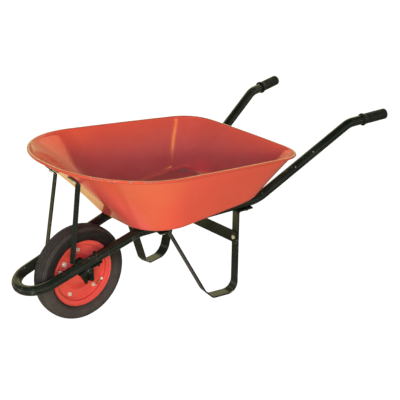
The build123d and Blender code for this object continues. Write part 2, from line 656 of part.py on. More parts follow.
zy = 2 * RIM_T / 2 + 0.05 + 0.05
put("rim_bolts", *[hex_bolt(polar(RIM_BOLT_A0 + 72 * k, RIM_BOLT_PCR, zy), Yp * -1, 2 * zy + 11.5, 4.0, 13.0, 5.3) for k in range(RIM_BOLT_N)])
put("rim_nuts", *[nut(polar(RIM_BOLT_A0 + 72 * k, RIM_BOLT_PCR, -zy), Yp * -1, 4.0, 13.0, 6.5) for k in range(RIM_BOLT_N)])
put("clamp_bolt", hex_bolt(polar(HOLE_A, HOLE_R, zy), Yp * -1, 2 * zy + 13.0, 5.0, 17.0, 6.4))
put("clamp_nut", nut(polar(HOLE_A, HOLE_R, -zy), Yp * -1, 5.0, 17.0, 8.4))

# tyre: ribbed crown, rounded shoulders, plain sidewall, beads on the seats
def crown_r(y):
    return TYRE_BELLY + (WHEEL_R - TYRE_BELLY) * (1 - (abs(y) / TYRE_HALF) ** 2.4) ** (1 / 2.4)


TY = [(SEAT_R + 0.3, 7.3), (SEAT_R + 0.3, 15.8), (SEAT_R + 1.6, 17.1), (110.0, 17.5), (115.5, 18.6), (118.4, 21.0),
      (119.8, 25.5), (122.5, 31.0), (127.5, 36.2), (132.5, 38.2), (TYRE_BELLY, TYRE_HALF)]
TY += [(crown_r(y), y) for y in (38.2, 37.0, 35.0, 32.5, 30.0)]
crown = []
groove = 2.4
ys = [26.5, 23.5, 15.5, 12.5, 4.5, 1.5]
for a, b in zip(ys[::2], ys[1::2]):
    crown += [(crown_r(a), a), (crown_r(a) - groove, a - 0.7), (crown_r(b) - groove, b + 0.7), (crown_r(b), b)]
out_half = TY + crown
full = out_half + [(r, -y) for r, y in reversed(out_half)]
IN = [(SEAT_R + 0.3, 7.3), (110.0, 10.0), (116.0, 13.0), (121.0, 18.5), (125.0, 26.0), (130.0, 32.0), (136.0, 34.0),
      (142.0, 33.2), (147.0, 30.5), (151.0, 26.0), (154.0, 20.0), (156.5, 12.0)]
inner_line = [(r, -y) for r, y in IN[1:]] + [(158.0, 0.0)] + [(r, y) for r, y in reversed(IN[1:])]
put("tyre", turned(full + inner_line))

# inner tube: fills the tyre's cavity
cx = 131.0


def shrink(r, y, t):
    dx, dy = cx - r, -y
    L = math.hypot(dx, dy)
    return (r + dx / L * t, y + dy / L * t)


TB = [(104.6, 0.0), (104.8, 4.0)] + [shrink(r, y, 1.2) for r, y in IN[1:]] + [(156.6, 0.0)]
outer_t = TB + [(r, -y) for r, y in reversed(TB[1:-1])]
tube_solid = turned(outer_t) - turned([shrink(r, y, 1.8) for r, y in outer_t])
put("inner_tube", tube_solid.solid())

# valve: metal stem through the seat, then bent to run round the rim
p0, p1 = polar(VALVE_A, *VALVE_IN), polar(VALVE_A, *VALVE_OUT)
run_dir = (p1 - p0).normalized()
rad = polar(VALVE_A, 1, 0) - V(0, 0, WHEEL_R)
tan_ = V(-rad.Z, 0, rad.X)
out_dir = (tan_ * 20.0 - V(0, 5.0, 0) + rad * 1.5).normalized()
pe = p1 + out_dir * 21.0
stem_path = Wire(round_path([p0, p1, pe], [6.0]))
stem = sweep(Plane(origin=p0, z_dir=run_dir) * Circle(3.2), path=stem_path).solid()
put("valve_stem", stem)
cap = Solid.make_cone(4.8, 4.3, 11.0, Plane(origin=pe - out_dir * 5.0, z_dir=out_dir)) - cyl(pe - out_dir * 6.0, out_dir, 3.25, 6.3)
put("valve_cap", cap.solid())

# =============================================================== write
os.makedirs("parts", exist_ok=True)
for f in os.listdir("parts"):
    if f.endswith(".step"):
        os.remove(os.path.join("parts", f))
lo_b, hi_b = [1e9] * 3, [-1e9] * 3
for name, solids in parts.items():
    moved = [s.moved(Location((AXLE_X, 0, 0))) for s in solids]
    for s in moved:
        b = s.bounding_box()
        lo_b = [min(a, c) for a, c in zip(lo_b, (b.min.X, b.min.Y, b.min.Z))]
        hi_b = [max(a, c) for a, c in zip(hi_b, (b.max.X, b.max.Y, b.max.Z))]
    shape = moved[0] if len(moved) == 1 else Compound(children=moved)
    shape.label = name
    export_step(shape, "parts/" + name + ".step")
print("nodes", len(parts), "box", [round(v, 3) for v in lo_b], [round(v, 3) for v in hi_b])
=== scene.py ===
import bpy
import bmesh
import math
import numpy as np
from mathutils import Matrix, Vector


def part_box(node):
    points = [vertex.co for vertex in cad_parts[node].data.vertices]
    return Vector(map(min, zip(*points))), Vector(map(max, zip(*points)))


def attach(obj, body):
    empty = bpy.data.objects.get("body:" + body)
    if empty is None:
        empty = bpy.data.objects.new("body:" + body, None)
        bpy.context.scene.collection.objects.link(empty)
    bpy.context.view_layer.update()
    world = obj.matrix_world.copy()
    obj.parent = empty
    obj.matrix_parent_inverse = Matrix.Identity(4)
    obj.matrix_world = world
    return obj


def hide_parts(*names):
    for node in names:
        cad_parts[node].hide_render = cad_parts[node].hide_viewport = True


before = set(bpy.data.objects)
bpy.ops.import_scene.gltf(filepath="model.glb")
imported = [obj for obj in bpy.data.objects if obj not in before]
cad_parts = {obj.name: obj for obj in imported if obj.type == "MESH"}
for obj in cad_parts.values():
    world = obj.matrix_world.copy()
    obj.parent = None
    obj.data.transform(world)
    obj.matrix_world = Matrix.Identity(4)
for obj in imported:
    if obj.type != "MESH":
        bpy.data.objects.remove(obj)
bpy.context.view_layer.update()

scene = bpy.context.scene

# ---------------------------------------------------------------------------
# Everything below is laid out in millimetres from the ground point under the
# axle, and shifted to the CAD frame when a mesh is made.
# ---------------------------------------------------------------------------
_lo, _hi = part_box("tyre")
AX = (_lo.x + _hi.x) / 2 * 1000.0
WHEEL_R = 166.0


def A3(*v):
    return np.array(v, float)


def unit(v):
    v = np.asarray(v, float)
    return v / np.linalg.norm(v)


# ------------------------------------------------------------------ meshes
class Builder:
    """collects vertices, faces and a per-vertex wear value"""

    def __init__(self):
        self.v, self.f, self.w, self.m = [], [], [], []

    def add(self, verts, faces, wear=None, mat=0):
        o = len(self.v)
        self.v += [tuple(map(float, p)) for p in verts]
        self.f += [tuple(i + o for i in f) for f in faces]
        self.w += list(wear) if wear is not None else [0.0] * len(verts)
        self.m += [mat] * len(faces)
        return self

    def obj(self, name, mats, body, nodes=(), sharp=38.0, bevel=None):
        me = bpy.data.meshes.new(name)
        co = (np.array(self.v) + A3(AX, 0, 0)) * 0.001
        me.from_pydata(co.tolist(), [], self.f)
        me.validate()
        for m in (mats if isinstance(mats, (list, tuple)) else [mats]):
            me.materials.append(m)
        if len(me.polygons) == len(self.m):
            me.polygons.foreach_set("material_index", self.m)
        at = me.attributes.new("wear", "FLOAT", "POINT")
        at.data.foreach_set("value", np.array(self.w, np.float32))
        bm = bmesh.new()
        bm.from_mesh(me)
        bmesh.ops.recalc_face_normals(bm, faces=bm.faces)
        bm.to_mesh(me)
        bm.free()
        me.polygons.foreach_set("use_smooth", [True] * len(me.polygons))
        me.set_sharp_from_angle(angle=math.radians(sharp))
        ob = bpy.data.objects.new(name, me)
        scene.collection.objects.link(ob)
        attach(ob, body)
        if nodes:
            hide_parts(*nodes)
        return ob


def grid_faces(rows, cols, wrap_c=True, wrap_r=False):
    f = []
    for r in range(rows if wrap_r else rows - 1):
        for c in range(cols if wrap_c else cols - 1):
            a, b = r * cols + c, r * cols + (c + 1) % cols
            r2 = (r + 1) % rows
            f.append((a, b, r2 * cols + (c + 1) % cols, r2 * cols + c))
    return f


def basis(d):
    d = unit(d)
    h = A3(0, 0, 1) if abs(d[2]) < 0.9 else A3(1, 0, 0)
    a = unit(np.cross(h, d))
    return a, np.cross(d, a), d


def lathe(B, p, d, prof, steps=48, wear=None, close=False, radial=None, mat=0):
    """prof: (radius, distance along d).  radial(theta, r, z) may change the radius."""
    a, b, d = basis(d)
    p = np.asarray(p, float)
    verts, wr = [], []
    for i, (r, z) in enumerate(prof):
        for s in range(steps):
            t = 2 * math.pi * s / steps
            rr = radial(t, r, z) if radial else r
            verts.append(p + d * z + (a * math.cos(t) + b * math.sin(t)) * rr)
            wr.append(wear[i] if wear else 0.0)
    faces = grid_faces(len(prof), steps, True, close)
    if not close:
        for row, (r, z) in ((0, prof[0]), (len(prof) - 1, prof[-1])):
            if r < 1e-6:
                continue
            faces.append(tuple(row * steps + s for s in range(steps)))
    B.add(verts, faces, wr, mat)
    return B


def turned(B, prof, steps=160, close=True, wear=None, mat=0, dr=None):
    """solid of revolution about the axle; prof: (radius, y)"""
    verts, wr = [], []
    for i, (r, y) in enumerate(prof):
        for s in range(steps):
            t = 2 * math.pi * s / steps
            rr = r + (dr(t, r, y) if dr else 0.0)
            verts.append((rr * math.cos(t), y, WHEEL_R + rr * math.sin(t)))
            wr.append(wear[i] if wear else 0.0)
    B.add(verts, grid_faces(len(prof), steps, True, close), wr, mat)
    return B


def path_points(pts, radii, arc=14, step=None):
    """corner points with bend radii -> sampled points"""
    pts = [np.asarray(p, float) for p in pts]
    out = [pts[0]]
    for i in range(1, len(pts) - 1):
        p, r = pts[i], radii[i - 1]
        d1, d2 = unit(p - pts[i - 1]), unit(pts[i + 1] - p)
        ang = math.acos(max(-1, min(1, float(d1 @ d2))))
        if ang < 1e-4 or r <= 0:
            out.append(p)
            continue
        t = r * math.tan(ang / 2)
        n = unit(d2 - d1)
        c = p + n * (r / math.cos(ang / 2))
        s = p - d1 * t - c
        u = unit(s)
        w = unit(d1)
        for k in range(arc + 1):
            q = ang * k / arc
            out.append(c + (u * math.cos(q) + w * math.sin(q)) * r)
    out.append(pts[-1])
    if step:
        fine = [out[0]]
        for a, b in zip(out[:-1], out[1:]):
            L = np.linalg.norm(b - a)
            k = max(1, int(L / step))
            fine += [a + (b - a) * j / k for j in range(1, k + 1)]
        out = fine
    return out


def tangents(P):
    n = len(P)
    return [unit(P[min(n - 1, i + 1)] - P[max(0, i - 1)]) for i in range(n)]


def tube(B, P, radius, steps=40, wear=None, caps=True, twist=0.0, shape=None, mat=0):
    """round tube along points with rotation-minimising frames"""
    T = tangents(P)
    a, b, _ = basis(T[0])
    verts, wr = [], []
    s_len = 0.0
    for i, p in enumerate(P):
        if i:
            s_len += float(np.linalg.norm(P[i] - P[i - 1]))
            v = T[i - 1]
            ax = np.cross(v, T[i])
            sn = np.linalg.norm(ax)
            if sn > 1e-9:
                ax = ax / sn
                an = math.atan2(sn, float(v @ T[i]))
                R = np.array(Matrix.Rotation(an, 3, Vector(ax)))
                a, b = R @ a, R @ b
        for s in range(steps):
            t = 2 * math.pi * s / steps
            r = radius(s_len) if callable(radius) else radius
            verts.append(p + (a * math.cos(t) + b * math.sin(t)) * r)
            wr.append(wear(s_len, t) if wear else 0.0)
    faces = grid_faces(len(P), steps, True, False)
    if caps:
        faces.append(tuple(range(steps)))
        faces.append(tuple((len(P) - 1) * steps + s for s in range(steps)))
    B.add(verts, faces, wr, mat)
    return B


def rounded_rect(w, t, r, seg=3):
    """section points and an edge mask, width along the first axis"""
    pts, edge = [], []
    for cx, cy, a0 in ((w / 2 - r, t / 2 - r, 0), (-w / 2 + r, t / 2 - r, 90), (-w / 2 + r, -t / 2 + r, 180), (w / 2 - r, -t / 2 + r, 270)):
        for k in range(seg + 1):
            a = math.radians(a0 + 90 * k / seg)
            pts.append((cx + r * math.cos(a), cy + r * math.sin(a)))
            edge.append(1.0)
    # flats get a middle and two near-edge points so that wear stays on the edges
    out, e2 = [], []
    n = len(pts)
    for i in range(n):
        out.append(pts[i])
        e2.append(edge[i])
        p, q = pts[i], pts[(i + 1) % n]
        L = math.hypot(q[0] - p[0], q[1] - p[1])
        if L > 6:
            for u in (1.6 / L, 0.5, 1 - 1.6 / L):
                out.append((p[0] + (q[0] - p[0]) * u, p[1] + (q[1] - p[1]) * u))
                e2.append(0.0)
    return out, e2


def strap(B, pts2, radii, w, t, to3, arc=12, r=0.9, taper=6.0, mat=0):
    """flat strap bent in a plane.  pts2: corner points of its middle line, to3(u, v, across) -> point"""
    P = path_points([(a, b, 0) for a, b in pts2], radii, arc, 14.0)
    T = tangents(P)
    L = [0.0]
    for a, b in zip(P[:-1], P[1:]):
        L.append(L[-1] + float(np.linalg.norm(b - a)))
    tot = L[-1]
    # extra rows near both ends for rounded corners
    rows = []
    ends = [0.0, 0.35, 0.9, 1.8, 3.2, 5.0, taper]
    def at(s):
        for i in range(len(L) - 1):
            if L[i] <= s <= L[i + 1] + 1e-9:
                k = (s - L[i]) / max(1e-9, L[i + 1] - L[i])
                return P[i] * (1 - k) + P[i + 1] * k, T[i] * (1 - k) + T[i + 1] * k
        return P[-1], T[-1]
    S = sorted(set([e for e in ends] + [tot - e for e in ends] + [s for s in L if taper < s < tot - taper]))
    sec, edge = rounded_rect(w, t, r)
    verts, wr = [], []
    for s in S:
        p, tt = at(s)
        tt = unit(tt)
        n = A3(-tt[1], tt[0], 0)
        e = min(s, tot - s)
        cut = taper - math.sqrt(max(0.0, taper ** 2 - (taper - min(e, taper)) ** 2))
        tk = 1.0 if e > 0.8 else 0.75 + 0.25 * (e / 0.8)
        for (a, b), ed in zip(sec, edge):
            k = (w / 2 - cut) / (w / 2)
            q = p + n * (b * tk)
            verts.append(to3(q[0], q[1], a * k))
            wr.append(max(ed, 1.0 if e < 0.9 else 0.0))
    m = len(sec)
    faces = grid_faces(len(S), m, True, False)
    faces.append(tuple(range(m)))
    faces.append(tuple((len(S) - 1) * m + k for k in range(m)))
    B.add(verts, faces, wr, mat)
    return B


# ---------------------------------------------------------------- fasteners
def hex_r(t, af):
    q = (t + math.pi / 6) % (math.pi / 3) - math.pi / 6
    return af / 2 / math.cos(q)


def hex_body(B, p, d, af, h, top=True, bottom=False, bore=0.0, mat=0):
    """hexagonal prism from p along d with turned chamfers"""
    R = af / 2 / math.cos(math.pi / 6)
    rows = []
    if bottom:
        rows += [(max(bore, 0.01), 0.0), (af / 2 * 0.93, 0.0), (af / 2 * 1.0, 0.05 * h), (R * 1.0, 0.05 * h + (R - af / 2) * 0.55)]
    else:
        rows += [(max(bore, 0.01), 0.0), (af / 2 * 0.97, 0.0), (af / 2 * 0.985, 0.05 * h), (R, 0.055 * h)]
    rows += [(R, 0.45 * h)]
    if top:
        c = (R - af / 2) * 0.62
        for k in range(5):
            u = k / 4
            rows.append((R - (R - af / 2 * 0.985) * u, h - c * (1 - u)))
        rows += [(af / 2 * 0.90, h + 0.0), (max(bore, 0.01), h)]
    else:
        rows += [(R, h), (max(bore, 0.01), h)]
    lathe(B, p, d, rows, 48, radial=lambda t, r, z: min(r, hex_r(t, af)), mat=mat)


def thread(B, p, d, r, L, pitch=1.25, tip=1.0, plain=0.0):
    """shank with thread rings over its last part"""
    prof = [(r * 0.999, 0.0)]
    z = plain
    if plain > 0:
        prof.append((r, plain))
    while z < L - tip - pitch:
        prof += [(r, z + pitch * 0.12), (r - 0.55, z + pitch * 0.5), (r, z + pitch * 0.88)]
        z += pitch
    prof += [(r - 0.1, L - tip), (r - tip * 0.75, L), (0.01, L)]
    lathe(B, p, d, prof, 28)


def bolt(B, p, d, length, r, af, head, plain=None):
    p, d = np.asarray(p, float), unit(d)
    hex_body(B, p, -d, af, head, top=True)
    thread(B, p - d * 0.05, d, r, length, plain=max(0.0, length - 16.0) if plain is None else plain)


def nut(B, p, d, r, af, h):
    hex_body(B, np.asarray(p, float), unit(d), af, h, top=True, bottom=True, bore=r + 0.05)


def washer(B, p, d, r, R, h):
    c = min(0.35, h * 0.2)
    lathe(B, p, d, [(r, c), (r + c, 0), (R - c, 0), (R - c * 0.3, c * 0.3), (R, c), (R, h - c), (R - c * 0.3, h - c * 0.3), (R - c, h), (r + c, h), (r, h - c)], 64, close=True)


# ---------------------------------------------------------------- materials
class Mat:
    def __init__(self, name):
        self.m = bpy.data.materials.new(name)
        self.m.use_nodes = True
        self.t = self.m.node_tree
        self.t.nodes.clear()
        self.out = self.t.nodes.new("ShaderNodeOutputMaterial")
        self.p = self.t.nodes.new("ShaderNodeBsdfPrincipled")
        self.t.links.new(self.p.outputs[0], self.out.inputs[0])
        tc = self.t.nodes.new("ShaderNodeTexCoord")
        self.co = tc.outputs["Object"]

    def link(self, a, b):
        self.t.links.new(a, b)

    def put(self, sock, v):
        if isinstance(v, bpy.types.NodeSocket):
            self.link(v, sock)
        elif isinstance(v, (tuple, list)) and len(v) == 3 and sock.type == "RGBA":
            sock.default_value = (*v, 1.0)
        else:
            sock.default_value = v

    def noise(self, scale, detail=2.0, rough=0.5, co=None, dist=0.0, out="Fac", stretch=None):
        n = self.t.nodes.new("ShaderNodeTexNoise")
        c = co or self.co
        if stretch:
            c = self.mapping(c, stretch)
        self.link(c, n.inputs["Vector"])
        n.inputs["Scale"].default_value = scale
        n.inputs["Detail"].default_value = detail
        n.inputs["Roughness"].default_value = rough
        n.inputs["Distortion"].default_value = dist
        return n.outputs[out]

    def voronoi(self, scale, out="Distance", feature="F1"):
        n = self.t.nodes.new("ShaderNodeTexVoronoi")
        n.feature = feature
        self.link(self.co, n.inputs["Vector"])
        n.inputs["Scale"].default_value = scale
        return n.outputs[out]

    def mapping(self, c, scale, loc=(0, 0, 0)):
        n = self.t.nodes.new("ShaderNodeMapping")
        self.link(c, n.inputs["Vector"])
        n.inputs["Scale"].default_value = scale
        n.inputs["Location"].default_value = loc
        return n.outputs[0]

    def ramp(self, fac, *stops, interp="LINEAR"):
        n = self.t.nodes.new("ShaderNodeValToRGB")
        n.color_ramp.interpolation = interp
        e = n.color_ramp.elements
        while len(e) < len(stops):
            e.new(0.5)
        for el, (pos, col) in zip(e, stops):
            el.position = pos
            el.color = (*col, 1.0) if isinstance(col, (tuple, list)) else (col, col, col, 1.0)
        self.link(fac, n.inputs[0])
        return n.outputs[0]

    def step(self, fac, lo, hi):
        n = self.t.nodes.new("ShaderNodeMapRange")
        n.interpolation_type = "SMOOTHSTEP"
        self.put(n.inputs["Value"], fac)
        n.inputs["From Min"].default_value = lo
        n.inputs["From Max"].default_value = hi
        return n.outputs[0]

    def remap(self, fac, a, b, lo=0.0, hi=1.0):
        n = self.t.nodes.new("ShaderNodeMapRange")
        self.put(n.inputs["Value"], fac)
        n.inputs["From Min"].default_value = lo
        n.inputs["From Max"].default_value = hi
        n.inputs["To Min"].default_value = a
        n.inputs["To Max"].default_value = b
        return n.outputs[0]

    def mix(self, fac, a, b):
        n = self.t.nodes.new("ShaderNodeMix")
        n.data_type = "RGBA"
        self.put(n.inputs[0], fac)
        self.put(n.inputs[6], a)
        self.put(n.inputs[7], b)
        return n.outputs[2]

    def math(self, op, a, b=0.0, clamp=False):
        n = self.t.nodes.new("ShaderNodeMath")
        n.operation = op
        n.use_clamp = clamp
        self.put(n.inputs[0], a)
        self.put(n.inputs[1], b)
        return n.outputs[0]

    def attr(self, name="wear"):
        n = self.t.nodes.new("ShaderNodeAttribute")
        n.attribute_name = name
        return n.outputs["Fac"]

    def point(self):
        return self.t.nodes.new("ShaderNodeNewGeometry").outputs["Pointiness"]

    def axis(self, i):
        n = self.t.nodes.new("ShaderNodeSeparateXYZ")
        self.link(self.co, n.inputs[0])
        return n.outputs[i]

    def near(self, p, r0, r1):
        """1 inside r0 of a point in the object frame (mm from the axle), 0 beyond r1"""
        n = self.t.nodes.new("ShaderNodeVectorMath")
        n.operation = "DISTANCE"
        self.link(self.co, n.inputs[0])
        n.inputs[1].default_value = ((p[0] + AX) * 0.001, p[1] * 0.001, p[2] * 0.001)
        return self.step(n.outputs["Value"], r1 * 0.001, r0 * 0.001)

    def bump(self, height, strength, dist=0.001, normal=None):
        n = self.t.nodes.new("ShaderNodeBump")
        n.inputs["Strength"].default_value = strength
        n.inputs["Distance"].default_value = dist
        self.link(height, n.inputs["Height"])
        if normal is not None:
            self.link(normal, n.inputs["Normal"])
        return n.outputs[0]

    def set(self, **kw):
        names = dict(color="Base Color", rough="Roughness", metal="Metallic", normal="Normal", coat="Coat Weight",
                     coat_rough="Coat Roughness", ior="IOR", spec="Specular IOR Level", coat_normal="Coat Normal", coat_ior="Coat IOR")
        for k, v in kw.items():
            self.put(self.p.inputs[names[k]], v)
        return self.m


def enamel(name, main, alt, deep, chips=(), rough=0.20, metal=0.22, peel=0.03, wave=0.05, spec=0.4, flank_light_tint=None, inner_shade_tint=None, crest_highlight=None, front_light_tint=None):
    m = Mat(name)
    big = m.noise(4.5, 3, 0.55)
    mid = m.noise(38, 4, 0.6)
    col = m.mix(m.step(big, 0.34, 0.68), main, alt)
    col = m.mix(m.math("MULTIPLY", m.step(mid, 0.52, 0.8), 0.35), col, deep)
    if flank_light_tint:
        # painted light: the front part of the outside of the near flank is tinted lighter and more orange
        nz = m.t.nodes.new("ShaderNodeSeparateXYZ")
        m.link(m.t.nodes.new("ShaderNodeTexCoord").outputs["Normal"], nz.inputs[0])
        x, y = m.axis(0), m.axis(1)
        a = m.math("MULTIPLY", m.step(x, -0.20, -0.34), m.step(x, -0.56, -0.50))
        a = m.math("MULTIPLY", a, m.math("MULTIPLY", m.step(y, -0.10, -0.16), m.step(nz.outputs[2], 0.05, -0.15)))
        a = m.math("MULTIPLY", a, m.remap(m.noise(7, 3, 0.6), 0.65, 1.0, 0.35, 0.6))
        col = m.mix(a, col, flank_light_tint)
    if inner_shade_tint:
        # painted shade: the lower half of the inside, where the near wall shades it, is tinted a paler, greyer red
        nu = m.t.nodes.new("ShaderNodeSeparateXYZ")
        m.link(m.t.nodes.new("ShaderNodeTexCoord").outputs["Normal"], nu.inputs[0])
        d = m.math("MULTIPLY", m.step(m.axis(2), 0.54, 0.38), m.step(nu.outputs[2], -0.05, 0.15))
        d = m.math("MULTIPLY", d, m.remap(m.noise(16, 5, 0.65), 0.40, 0.75, 0.3, 0.7))
        col = m.mix(d, col, inner_shade_tint)
        # painted highlight: a lighter band along the bend between wall and bottom
        bend = m.math("MULTIPLY", m.step(nu.outputs[2], 0.66, 0.74), m.step(nu.outputs[2], 0.93, 0.85))
        bend = m.math("MULTIPLY", bend, m.step(m.axis(2), 0.40, 0.37))
        col = m.mix(m.math("MULTIPLY", bend, m.remap(m.noise(30, 4, 0.65), 0.6, 0.95, 0.3, 0.7)), col, (0.97, 0.150, 0.110))
        # painted shade: the bottom is darker and greyer
        low = m.math("MULTIPLY", m.step(m.axis(2), 0.40, 0.36), m.step(nu.outputs[2], 0.90, 0.97))
        col = m.mix(m.math("MULTIPLY", low, m.remap(m.noise(26, 5, 0.65), 0.65, 0.95, 0.3, 0.7)), col, (0.63, 0.205, 0.145))
    if front_light_tint:
        # painted light: the outside of the front wall, where it faces forward and down, is tinted lighter and pinker
        ns = m.t.nodes.new("ShaderNodeSeparateXYZ")
        m.link(m.t.nodes.new("ShaderNodeTexCoord").outputs["Normal"], ns.inputs[0])
        f = m.math("MULTIPLY", m.step(ns.outputs[0], -0.53, -0.71), m.step(ns.outputs[2], 0.05, -0.15))
        f = m.math("MULTIPLY", f, m.remap(m.noise(20, 5, 0.65), 0.62, 0.92, 0.3, 0.7))
        col = m.mix(f, col, front_light_tint)
    # fine grain of the sprayed coat
    grain = m.noise(520, 3, 0.6)
    col = m.mix(m.math("MULTIPLY", m.step(grain, 0.45, 0.75), 0.22), col, tuple(min(1, c * 1.3 + 0.01) for c in main))
    r = m.remap(mid, rough * 0.75, rough * 1.45, 0.3, 0.75)
    if inner_shade_tint:
        r = m.math("ADD", r, m.math("MULTIPLY", bend, 0.25), True)
    b = m.bump(m.noise(260, 2, 0.5), peel, 0.0006)
    b = m.bump(m.noise(11, 2, 0.5), wave, 0.0012, b)
    if crest_highlight:
        # painted highlight: a pale cream line along the crest of the rolled rim, where it faces up
        nl = m.t.nodes.new("ShaderNodeSeparateXYZ")
        m.link(m.t.nodes.new("ShaderNodeTexCoord").outputs["Normal"], nl.inputs[0])
        e = m.math("MULTIPLY", m.step(m.attr("wear"), 0.85, 0.98), m.step(nl.outputs[2], 0.80, 0.93))
        e = m.math("MULTIPLY", e, m.remap(m.noise(30, 4, 0.65), 0.30, 0.85, 0.3, 0.7))
        # painted shade: the rolled bead is darkened to 0.72 of the main colour
        col = m.mix(m.math("MULTIPLY", m.step(m.attr("wear"), 0.35, 0.7), 0.9), col, tuple(c * 0.72 for c in main))
        col = m.mix(e, col, crest_highlight)
        # painted reflection: a cream crescent inside the front corner
        cres = None
        for q in CRESCENT:
            f_ = m.near(q, 2.0, 15.0)
            cres = f_ if cres is None else m.math("MAXIMUM", cres, f_)
        col = m.mix(m.math("MULTIPLY", cres, 0.42), col, (0.72, 0.50, 0.24))
    # chipped paint: bare grey metal in small ragged patches on worn places
    ragged = m.noise(240, 5, 0.7)
    worn = m.math("MULTIPLY", m.attr("wear"), m.step(m.math("ADD", m.math("MULTIPLY", ragged, 0.55), m.math("MULTIPLY", m.noise(22, 3, 0.6), 0.45)), 0.60, 0.63))
    for p, r0, r1 in chips:
        spot = m.math("MULTIPLY", m.near(p, r0, r1), m.step(ragged, 0.40, 0.50))
        worn = m.math("MAXIMUM", worn, spot)
    steel = m.mix(m.noise(500, 2, 0.5), (0.10, 0.095, 0.085), (0.26, 0.24, 0.20))
    col = m.mix(worn, col, steel)
    r = m.math("ADD", r, m.math("MULTIPLY", worn, 0.2), True)
    inv = m.math("SUBTRACT", 1.0, worn)
    b = m.bump(inv, 0.35, 0.0003, b)
    return m.set(color=col, rough=r, normal=b, metal=metal, spec=spec)


def black_paint(name, base=(0.0032, 0.0056, 0.0036), lift=(0.0078, 0.0122, 0.0080), chips=()):
    m = Mat(name)
    big = m.noise(9, 3, 0.6)
    fine = m.noise(320, 3, 0.55)
    col = m.mix(m.step(big, 0.35, 0.7), base, lift)
    col = m.mix(m.math("MULTIPLY", m.step(m.noise(60, 5, 0.65), 0.58, 0.8), 0.5), col, (0.015, 0.019, 0.014))
    r = m.remap(m.noise(26, 4, 0.6), 0.17, 0.30, 0.3, 0.72)
    b = m.bump(fine, 0.06, 0.0004)
    b = m.bump(m.noise(45, 2, 0.5), 0.08, 0.0008, b)
    ragged = m.noise(210, 5, 0.7)
    worn = m.math("MULTIPLY", m.attr("wear"), m.step(m.math("ADD", m.math("MULTIPLY", ragged, 0.5), m.math("MULTIPLY", m.noise(17, 3, 0.6), 0.5)), 0.57, 0.62))
    for p, r0, r1 in chips:
        worn = m.math("MAXIMUM", worn, m.math("MULTIPLY", m.near(p, r0, r1), m.step(ragged, 0.38, 0.48)))
    metal = m.mix(m.noise(600, 2, 0.5), (0.16, 0.15, 0.135), (0.34, 0.33, 0.31))
    col = m.mix(m.math("MULTIPLY", worn, 0.85), col, metal)
    inv = m.math("SUBTRACT", 1.0, worn)
    b = m.bump(inv, 0.3, 0.0002, b)
    return m.set(color=col, rough=r, normal=b, spec=0.32)


def zinc(name, tint=(0.92, 0.90, 0.70), rough=0.26, metal=0.68, soil=0.5):
    m = Mat(name)
    n = m.noise(90, 4, 0.6)
    col = m.mix(m.step(n, 0.35, 0.7), tint, tuple(c * k for c, k in zip(tint, (0.80, 0.76, 0.62))))
    spang = m.voronoi(420, "Color")
    sep = m.t.nodes.new("ShaderNodeSeparateColor")
    m.link(spang, sep.inputs[0])
    col = m.mix(m.math("MULTIPLY", sep.outputs[0], 0.18), col, (0.52, 0.52, 0.50))
    dirt = m.math("MULTIPLY", m.step(m.noise(150, 4, 0.65), 0.56, 0.72), soil)
    col = m.mix(dirt, col, (0.20, 0.16, 0.11))
    r = m.math("ADD", m.remap(n, rough - 0.06, rough + 0.16, 0.3, 0.75), m.math("MULTIPLY", dirt, 0.2), True)
    b = m.bump(m.noise(900, 2, 0.5), 0.12, 0.0002)
    return m.set(color=col, rough=r, metal=m.math("MULTIPLY", metal, m.math("SUBTRACT", 1.0, m.math("MULTIPLY", dirt, 0.6))), normal=b)


def tyre_mat(name):
    m = Mat(name)
    big = m.noise(10, 3, 0.6)
    col = m.mix(m.step(big, 0.3, 0.7), (0.0060, 0.0059, 0.0053), (0.0105, 0.0102, 0.0090))
    dust = m.math("MULTIPLY", m.step(m.noise(55, 5, 0.65), 0.5, 0.74), 0.45)
    col = m.mix(dust, col, (0.024, 0.0215, 0.018))
    # dust and a painted highlight: lighter lines on the tread
    tread_dust_and_highlight = m.math("MULTIPLY", m.attr("wear"), m.remap(m.noise(260, 4, 0.65), 0.25, 0.75, 0.35, 0.65))
    col = m.mix(m.math("MULTIPLY", tread_dust_and_highlight, 0.75), col, (0.105, 0.099, 0.088))
    # painted light: the lower part of the tyre is lighter, clear of the tray's shade
    lower_tyre_light = m.math("MULTIPLY", m.step(m.axis(2), 0.235, 0.10), m.remap(m.noise(24, 5, 0.7), 0.45, 0.85, 0.3, 0.7))
    col = m.mix(lower_tyre_light, col, (0.052, 0.046, 0.040))
    r = m.remap(m.noise(40, 4, 0.6), 0.52, 0.78, 0.3, 0.7)
    b = m.bump(m.noise(650, 3, 0.6), 0.22, 0.0004)
    b = m.bump(m.noise(70, 3, 0.5), 0.18, 0.0008, b)
    return m.set(color=col, rough=r, normal=b, spec=0.3)


def grip_mat(name):
    m = Mat(name)
    col = m.mix(m.step(m.noise(30, 3, 0.6), 0.35, 0.7), (0.0045, 0.0068, 0.0044), (0.0095, 0.0125, 0.0085))
    col = m.mix(m.math("MULTIPLY", m.step(m.noise(120, 4, 0.65), 0.56, 0.75), 0.4), col, (0.024, 0.027, 0.020))
    r = m.remap(m.noise(80, 3, 0.5), 0.42, 0.6, 0.3, 0.7)
    cell = m.voronoi(1100)
    b = m.bump(cell, 0.22, 0.0003)
    b = m.bump(m.noise(240, 2, 0.5), 0.12, 0.0005, b)
    return m.set(color=col, rough=r, normal=b, spec=0.3)


